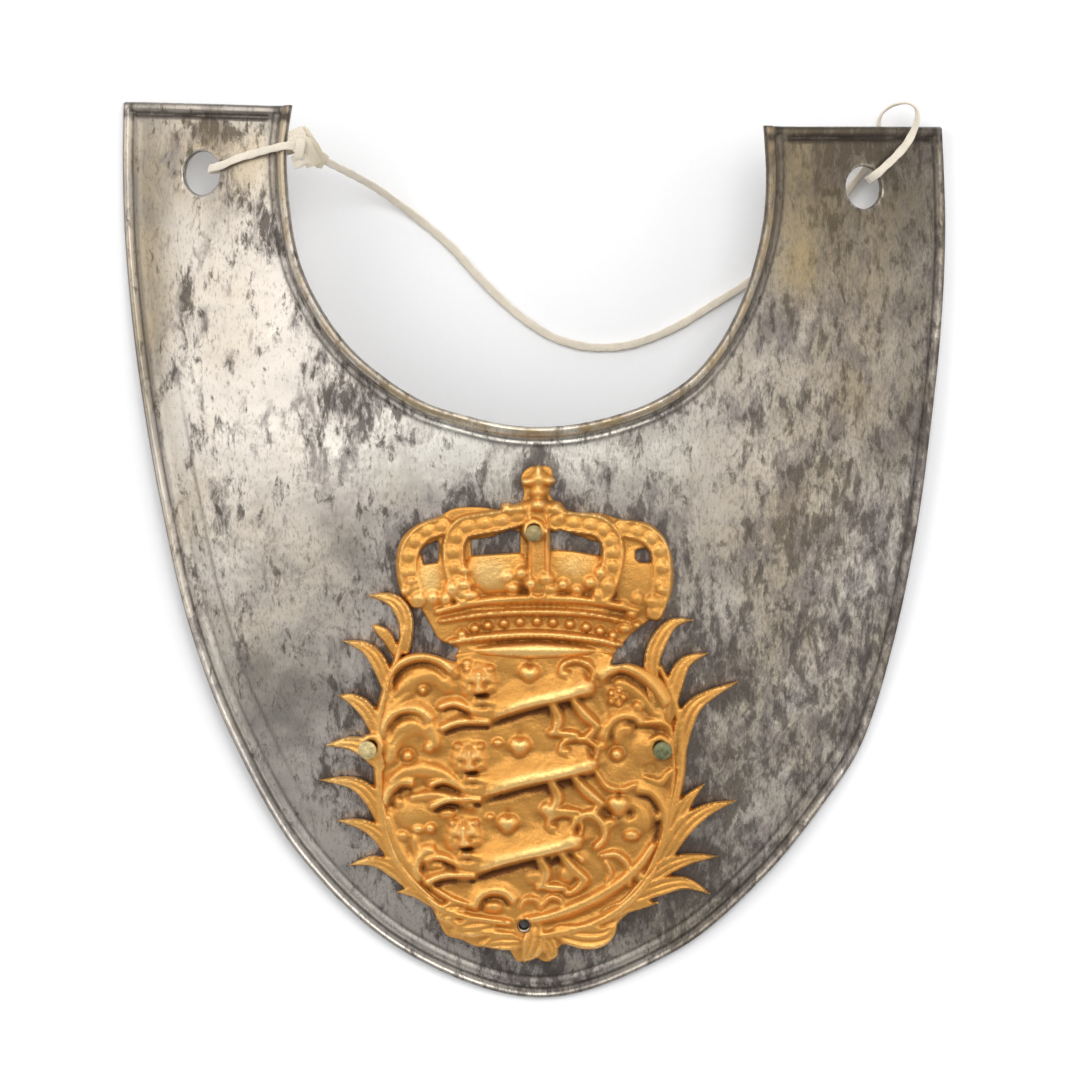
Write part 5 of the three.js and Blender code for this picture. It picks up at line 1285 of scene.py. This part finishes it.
class Finish:
    """A material, with short calls for its nodes. Each call gives an output socket to feed the next."""

    def __init__(self, name):
        self.material = bpy.data.materials.new(name)
        self.material.use_nodes = True
        self.tree = self.material.node_tree
        self.shader = self.tree.nodes["Principled BSDF"]
        self.place = self.node("TexCoord", "Object")

    def node(self, kind, output, inputs=None, **settings):
        """A new node of a kind with its inputs and settings, as the output that is asked for."""
        made = self.tree.nodes.new("ShaderNode" + kind)
        for label, value in settings.items():
            setattr(made, label, value)
        for label, value in (inputs or {}).items():
            self.put(made.inputs[label], value)
        return made.outputs[output]

    def put(self, socket, value):
        """Links a socket into another, or sets its value."""
        if isinstance(value, bpy.types.NodeSocket):
            self.tree.links.new(value, socket)
        else:
            socket.default_value = value

    def set(self, **values):
        """Puts the values into the shader's own sockets, whose names have spaces for underlines."""
        for label, value in values.items():
            self.put(self.shader.inputs[label.replace("_", " ")], value)

    def mark(self, name):
        """A value that the piece's mesh holds at each point."""
        return self.node("Attribute", "Fac", attribute_name=name)

    def stretched(self, scale, turn=0.0):
        """The place with its pattern drawn out and turned."""
        inputs = {"Vector": self.place, "Scale": scale, "Rotation": (0, 0, turn)}
        return self.node("Mapping", "Vector", inputs)

    def noise(self, scale, detail=4.0, rough=0.55, place=None, distort=0.0):
        """Cloudy values from 0 to 1, finer as the scale rises."""
        inputs = {"Vector": place or self.place, "Scale": scale, "Detail": detail, "Roughness": rough}
        return self.node("TexNoise", "Fac", {**inputs, "Distortion": distort})

    def math(self, operation, first, second=0.0, third=0.0):
        """One sum with up to three values. MULTIPLY_ADD gives first times second plus third."""
        return self.node("Math", 0, {0: first, 1: second, 2: third}, operation=operation)

    def between(self, value, low, high):
        """The value as a share of the way from low to high, kept from 0 to 1."""
        return self.node("MapRange", 0, {"Value": value, "From Min": low, "From Max": high})

    def ramp(self, value, stops):
        """A colour by value: stops are the place and the colour of each."""
        made = self.tree.nodes.new("ShaderNodeValToRGB")
        made.color_ramp.interpolation = "EASE"
        while len(made.color_ramp.elements) < len(stops):
            made.color_ramp.elements.new(0.5)
        for element, (place, colour) in zip(made.color_ramp.elements, stops):
            element.position = place
            element.color = (*tuple(colour)[:3], 1)
        self.put(made.inputs[0], value)
        return made.outputs[0]

    def mixed(self, share, first, second):
        """The first colour passing into the second by share."""
        blend = self.tree.nodes.new("ShaderNodeMix")
        blend.data_type = "RGBA"
        for index, value in ((0, share), (6, first), (7, second)):
            if not isinstance(value, (bpy.types.NodeSocket, float)):
                value = (*tuple(value)[:3], 1)
            self.put(blend.inputs[index], value)
        return blend.outputs[2]

    def bump(self, height, depth, strength=1.0, below=None):
        """Adds relief to the shader: the height from 0 to 1 stands for a depth in metres."""
        inputs = {"Height": height, "Distance": depth, "Strength": strength}
        if below is not None:
            inputs["Normal"] = below
        return self.node("Bump", "Normal", inputs)


def shade(colour, factor):
    """A colour made darker or brighter by a factor, kept at most 1."""
    return tuple(min(1.0, value * factor) for value in tuple(colour)[:3])


def silver_finish(colours):
    """Worn silvering: a pale warm metal, brighter and duller by clouds and by marks of painted highlight and
    of dullness, partly painted shade, with warm stains and a brown veil on the right, partly tarnish and
    partly painted shade. Over it lie ragged purple-grey patches, upright dark flecks that crowd together in
    clouds and towards the right, fine specks and scratches. Grooves and edges are dark with grime and
    painted shade, the places beside the casting are dark, and the neck bead is rubbed to brass."""
    make = Finish("worn_silver")
    aside = make.node("SeparateXYZ", "X", {"Vector": make.place})
    leaning = make.stretched((1, 0.55, 0.8), 0.3)
    upright = make.stretched((1, 0.42, 0.8), 0.08)
    rightward = make.between(aside, -0.03, 0.07)
    crowd = make.between(make.noise(38, 4, 0.6), 0.32, 0.7)
    crowd = make.math("ADD", crowd, make.between(aside, -0.07, 0.11))
    crowd = make.math("MULTIPLY_ADD", crowd, 0.11, -0.066)
    marks = make.math("MULTIPLY_ADD", make.mark("halo"), 0.8, make.mark("spots"))
    marks = make.math("MULTIPLY_ADD", make.mark("warm"), -0.35, marks)
    near = make.math("MULTIPLY_ADD", marks, 0.13, crowd)
    patch = make.between(make.math("ADD", make.noise(200, 8, 0.7, leaning, 0.4), near), 0.535, 0.66)
    fleck = make.between(make.math("ADD", make.noise(440, 7, 0.7, upright, 0.3), near), 0.55, 0.65)
    speck = make.between(make.math("ADD", make.noise(2000, 4, 0.62, upright), crowd), 0.52, 0.64)
    scratch = make.between(make.noise(3000, 2, 0.5, make.stretched((1, 0.02, 1), 0.3)), 0.66, 0.74)
    cloud = make.noise(60, 5, 0.6)
    silver = tuple(colours.silver)
    # Painted highlights below the neck and duller places that are partly tarnish and partly painted shade,
    # over clouds
    sheen_and_dullness = make.math("MULTIPLY_ADD", make.mark("sheen_and_dullness"), 0.5, cloud)
    tone = make.ramp(sheen_and_dullness, (
        (0.0, shade(silver, 0.15)), (0.25, shade(silver, 0.52)), (0.5, shade(silver, 0.92)),
        (1.0, shade(silver, 1.75))))
    warm = make.math("MULTIPLY", make.mark("warm"), make.between(make.noise(120, 5, 0.6), 0.3, 0.6))
    warm = make.math("MULTIPLY_ADD", make.between(make.noise(34, 5, 0.6), 0.5, 0.72), 0.3, warm)
    tone = make.mixed(make.math("MULTIPLY", warm, 0.75), tone, colours.stain)
    # A brown veil over the right side: partly tarnish and partly painted shade, away from the window lamp
    veil_and_shade = make.math("MULTIPLY", rightward, make.between(make.noise(70, 6, 0.68, leaning), 0.3, 0.62))
    tone = make.mixed(make.math("MULTIPLY", veil_and_shade, 0.72), tone, colours.veil_and_shade)
    tone = make.mixed(make.math("MULTIPLY", patch, 0.72), tone, colours.bloom)
    depth = make.math("MULTIPLY_ADD", rightward, -0.2, 0.78)
    tone = make.mixed(make.math("MULTIPLY", fleck, depth), tone, colours.tarnish)
    tone = make.mixed(make.math("MULTIPLY", speck, 0.34), tone, colours.tarnish)
    # Darker brown in the dull places: tarnish, and painted shade on the right arm
    dullness_and_shade = make.math("MULTIPLY", make.between(make.mark("sheen_and_dullness"), 0.0, -1.0), 0.6)
    tone = make.mixed(dullness_and_shade, tone, shade(colours.brass, 0.22))
    tone = make.mixed(make.math("MULTIPLY", warm, 0.3), tone, colours.stain)
    tone = make.mixed(make.math("MULTIPLY", scratch, 0.1), tone, shade(silver, 1.5))
    brass = make.math("MULTIPLY", make.mark("worn"), make.between(make.noise(170, 5, 0.6), 0.3, 0.58))
    tone = make.mixed(brass, tone, colours.brass)
    # Grime with painted shade in grooves and along edges
    grime_and_shade = make.math("MULTIPLY", make.mark("grime_and_shade"), make.between(make.noise(240, 5, 0.65), 0.2, 0.5))
    tone = make.mixed(make.math("MULTIPLY", grime_and_shade, 0.85), tone, colours.tarnish)
    dark = make.math("MAXIMUM", make.math("MULTIPLY", patch, 0.6), fleck)
    rough = make.math("MULTIPLY_ADD", dark, 0.22, make.math("MULTIPLY_ADD", cloud, 0.16, 0.27))
    normal = make.bump(make.noise(1400, 4, 0.6, upright), 0.00006, 0.5)
    normal = make.bump(dark, 0.00004, 0.5, normal)
    normal = make.bump(make.noise(80, 3, 0.5), 0.0008, 0.5, normal)
    make.set(Base_Color=tone, Roughness=rough, Normal=normal, Metallic=0.9)
    return make.material


def gilt_finish(colours):
    """Gilding over cast metal: painted highlight on crests and on rubbed places, orange on the slopes,
    red-brown painted shade in recesses, with soft clouds and a fine cast grain."""
    make = Finish("cast_gilding")
    recess_shade, crest_highlight, rub_and_light = make.mark("recess_shade"), make.mark("crest_highlight"), make.mark("rub_and_light")
    patch = make.noise(90, 5, 0.6)
    grain = make.noise(2600, 4, 0.6)
    # Painted highlight on crests and rubbed places and painted shade in recesses, over clouds and grain
    light = make.math("MULTIPLY_ADD", crest_highlight, 0.28, make.math("MULTIPLY_ADD", patch, 0.34, 0.36))
    light = make.math("SUBTRACT", light, make.math("MULTIPLY", recess_shade, 0.38))
    light = make.math("MULTIPLY_ADD", rub_and_light, 0.28, light)
    light = make.math("MULTIPLY_ADD", make.math("SUBTRACT", grain, 0.5), 0.3, light)
    gilt = tuple(colours.gilt)
    tone = make.ramp(light, (
        (0.04, colours.hollow), (0.3, shade(gilt, 0.72)), (0.55, gilt), (0.85, colours.gilt_bright)))
    rough = make.math("MULTIPLY_ADD", light, -0.2, 0.53)
    normal = make.bump(grain, 0.00008, 0.8)
    normal = make.bump(make.noise(600, 4, 0.6), 0.00036, 0.7, normal)
    make.set(Base_Color=tone, Roughness=rough, Normal=normal, Metallic=0.76)
    return make.material


def pin_finish(name, colour):
    """Dull metal of a pin: grey, mottled with a paler bloom, slightly pitted."""
    make = Finish(name)
    mottle = make.noise(900, 5, 0.62)
    tone = make.ramp(mottle, ((0.3, shade(colour, 0.45)), (0.5, colour), (0.7, shade(colour, 1.5))))
    rough = make.math("MULTIPLY_ADD", mottle, 0.3, 0.4)
    make.set(Base_Color=tone, Roughness=rough, Metallic=0.5, Normal=make.bump(mottle, 0.00012, 0.7))
    return make.material


def cotton_finish(colours):
    """White cotton tape: a plain weave as the product of two waves along and across the tape, yellower where
    it is aged, with a faint unevenness of colour and a soft sheen."""
    make = Finish("cotton_tape")
    lying = make.node("UVMap", "UV", uv_map="along_and_across")
    threads = make.node("TexWave", "Fac", {"Vector": lying, "Scale": 900.0}, bands_direction="X")
    across = make.node("TexWave", "Fac", {"Vector": lying, "Scale": 1200.0}, bands_direction="Y")
    weave = make.math("MULTIPLY", threads, across)
    soil = make.between(make.noise(300, 4, 0.6), 0.35, 0.75)
    tone = make.mixed(soil, tuple(colours.tape), shade(colours.tape, 0.86))
    tone = make.mixed(make.math("MULTIPLY", make.mark("aged"), 0.6), tone, colours.aged)
    tone = make.mixed(make.math("MULTIPLY_ADD", weave, -0.14, 0.14), tone, shade(colours.tape, 0.7))
    normal = make.bump(weave, 0.00012, 0.8)
    normal = make.bump(make.noise(1800, 3, 0.6), 0.00015, 0.5, normal)
    make.set(Base_Color=tone, Roughness=0.86, Normal=normal, Sheen_Weight=0.25)
    return make.material


# What a user can change


def length(name, description, size, least, most):
    """A length that a user can change, given here in millimetres and kept in metres."""
    return bpy.props.FloatProperty(
        name=name, description=description, default=size * MM, min=least * MM, max=most * MM, precision=5,
        subtype="DISTANCE", unit="LENGTH")


def colour(name, description, red, green, blue):
    """A colour that a user can change."""
    return bpy.props.FloatVectorProperty(
        name=name, description=description, subtype="COLOR", default=(red, green, blue), min=0, max=1)


class GorgetSizes(bpy.types.PropertyGroup):
    """Sizes of the gorget's finer forms."""

    tape_width: length("Tape width", "Width of the cotton tape", 1.6, 1, 2)
    tape_thickness: length("Tape thickness", "Thickness of the cotton tape", 0.55, 0.3, 0.8)
    arris: length("Plate edge rounding", "Radius of the plate's edges", 0.45, 0.1, 0.5)
    casting_step: length("Casting grid", "Spacing of the casting's mesh", 0.24, 0.2, 0.5)
    rows_across: bpy.props.IntProperty(
        name="Rows across the plate", description="Rows of the mesh between the two borders", default=26,
        min=10, max=40)


class GorgetColours(bpy.types.PropertyGroup):
    """Colours of the gorget's finishes."""

    silver: colour("Silvering", "Middle tone of the plate", 0.6, 0.545, 0.48)
    tarnish: colour("Tarnish", "Darkest tone of the plate", 0.05, 0.04, 0.035)
    stain: colour("Stain", "Warm stains on the plate", 0.36, 0.28, 0.16)
    bloom: colour("Bloom", "Dull patches on the plate", 0.2, 0.17, 0.16)
    # The veil is partly tarnish and partly painted shade on the right side
    veil_and_shade: colour("Veil", "Brown film over the plate's right side", 0.225, 0.178, 0.108)
    brass: colour("Worn brass", "Where the neck bead is rubbed through", 0.4, 0.295, 0.16)
    gilt: colour("Gilding", "Middle tone of the casting", 0.72, 0.345, 0.075)
    # The rubbed gilding colour is also painted highlight on crests, and the hollows colour is painted shade
    # in recesses
    gilt_bright: colour("Rubbed gilding", "High places of the casting", 0.95, 0.6, 0.21)
    hollow: colour("Hollows", "Deepest places of the casting", 0.13, 0.045, 0.01)
    pin: colour("Pins", "Metal of the pins", 0.2, 0.185, 0.12)
    tape: colour("Tape", "Colour of the cotton tape", 0.84, 0.75, 0.61)
    aged: colour("Aged tape", "Yellowed side of the left knot", 0.52, 0.44, 0.28)


# The steps


class GorgetStage(bpy.types.Operator):
    """Camera over the gorget, four soft lamps and a pale floor"""

    bl_idname = "gorget.stage"
    bl_label = "Stage"

    def execute(self, context):
        scene = context.scene
        lens = bpy.data.cameras.new("view")
        lens.sensor_width = CAMERA["film"]
        lens.lens = CAMERA["lens"]
        lens.clip_end = CAMERA["far"]
        camera = bpy.data.objects.new("view", lens)
        camera.location = CAMERA["place"]
        scene.collection.objects.link(camera)
        scene.camera = camera
        scene.view_settings.view_transform = "Standard"
        for name, (place, size, power) in LAMPS.items():
            lamp = bpy.data.lights.new(name, "AREA")
            lamp.size = size
            lamp.energy = power
            light = bpy.data.objects.new(name, lamp)
            light.location = place
            light.rotation_euler = look_at(place)
            scene.collection.objects.link(light)
        world = bpy.data.worlds.new("pale_room")
        world.use_nodes = True
        background = world.node_tree.nodes["Background"]
        background.inputs["Color"].default_value = ROOM["colour"]
        background.inputs["Strength"].default_value = ROOM["strength"]
        scene.world = world
        reach = ROOM["floor_reach"]
        corners = [(-reach, -reach, 0), (reach, -reach, 0), (reach, reach, 0), (-reach, reach, 0)]
        mesh = bpy.data.meshes.new("floor")
        mesh.from_pydata(corners, [], [(0, 1, 2, 3)])
        floor = bpy.data.objects.new("floor", mesh)
        scene.collection.objects.link(floor)
        paper = Finish("pale_paper")
        grain = paper.noise(900, 3, 0.5)
        paper.set(Base_Color=paper.mixed(grain, (0.93, 0.93, 0.93), (0.9, 0.9, 0.9)), Roughness=0.9)
        mesh.materials.append(paper.material)
        return {"FINISHED"}


def look_at(place):
    """The turn that points a lamp from its place to the middle of the object."""
    x, y, z = place
    flat = math.hypot(x, y)
    return (math.atan2(flat, z), 0.0, math.atan2(y, x) + math.pi / 2)


class GorgetTape(bpy.types.Operator):
    """The three stretches of tape and their two knots"""

    bl_idname = "gorget.tape"
    bl_label = "Tape"

    def execute(self, context):
        finish = cotton_finish(context.scene.gorget_colours)
        sizes = context.scene.gorget_sizes
        width, thickness = sizes.tape_width / MM, sizes.tape_thickness / MM
        for name, (middle, strands) in KNOTS.items():
            knot = make_knot(name + "_folds", middle, strands, width, thickness)
            dress(knot, finish, "cotton_tape", name)
        for name, (route, laterals, knot) in TAPES.items():
            long = path_length(spline(route, np.linspace(0, 1, 400), ends="mirrored"))
            points, faces, uv, line = ribbon(route, laterals, width, thickness, int(2.6 * long))
            tape = new_piece(name + "_weave", points, faces, uv=uv, smooth_angle=55)
            dress(tape, finish, "cotton_tape", name)
        return {"FINISHED"}


class GorgetPlate(bpy.types.Operator):
    """The curved plate with its beads, border lines and holes"""

    bl_idname = "gorget.plate"
    bl_label = "Plate"

    def execute(self, context):
        plate = make_plate(context.scene.gorget_sizes)
        dress(plate, silver_finish(context.scene.gorget_colours), "silvered_plate", "plate")
        return {"FINISHED"}


class GorgetCasting(bpy.types.Operator):
    """The gilt casting: crown, shield and two leafy branches"""

    bl_idname = "gorget.casting"
    bl_label = "Casting"

    def execute(self, context):
        finish = gilt_finish(context.scene.gorget_colours)
        step = context.scene.gorget_sizes.casting_step / MM
        for name, (low, high, share, lay) in PATCHES.items():
            patch = Relief(low, high, step * share)
            lay(patch)
            lay_pin_pads(patch)
            dress(cast_mesh(name, patch), finish, "gilt_casting", "gilt_mount")
        return {"FINISHED"}


class GorgetPins(bpy.types.Operator):
    """The three pins that hold the casting"""

    bl_idname = "gorget.pins"
    bl_label = "Pins"

    def execute(self, context):
        metal = tuple(context.scene.gorget_colours.pin)
        for name, tint in PIN_TINTS.items():
            tinted = tuple(min(1, part * share) for part, share in zip(metal, tint))
            dress(make_pin(name), pin_finish(name + "_metal", tinted), "pin_metal", name)
        return {"FINISHED"}


STEPS = (GorgetStage, GorgetTape, GorgetPlate, GorgetCasting, GorgetPins)


class GorgetPanel(bpy.types.Panel):
    """The gorget's steps, sizes and colours"""

    bl_idname = "GORGET_PT_panel"
    bl_label = "Gorget"
    bl_space_type = "VIEW_3D"
    bl_region_type = "UI"
    bl_category = "Gorget"

    def draw(self, context):
        for group in (context.scene.gorget_sizes, context.scene.gorget_colours):
            for name in group.__annotations__:
                self.layout.prop(group, name)
        for step in STEPS:
            self.layout.operator(step.bl_idname)


CLASSES = (GorgetSizes, GorgetColours, *STEPS, GorgetPanel)


def register():
    for kind in CLASSES:
        bpy.utils.register_class(kind)
    bpy.types.Scene.gorget_sizes = bpy.props.PointerProperty(type=GorgetSizes)
    bpy.types.Scene.gorget_colours = bpy.props.PointerProperty(type=GorgetColours)


def unregister():
    del bpy.types.Scene.gorget_colours
    del bpy.types.Scene.gorget_sizes
    for kind in reversed(CLASSES):
        bpy.utils.unregister_class(kind)


def main():
    """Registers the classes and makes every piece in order."""
    register()
    bpy.ops.gorget.stage()
    bpy.ops.gorget.tape()
    bpy.ops.gorget.plate()
    bpy.ops.gorget.casting()
    bpy.ops.gorget.pins()


if __name__ == "__main__":
    main()
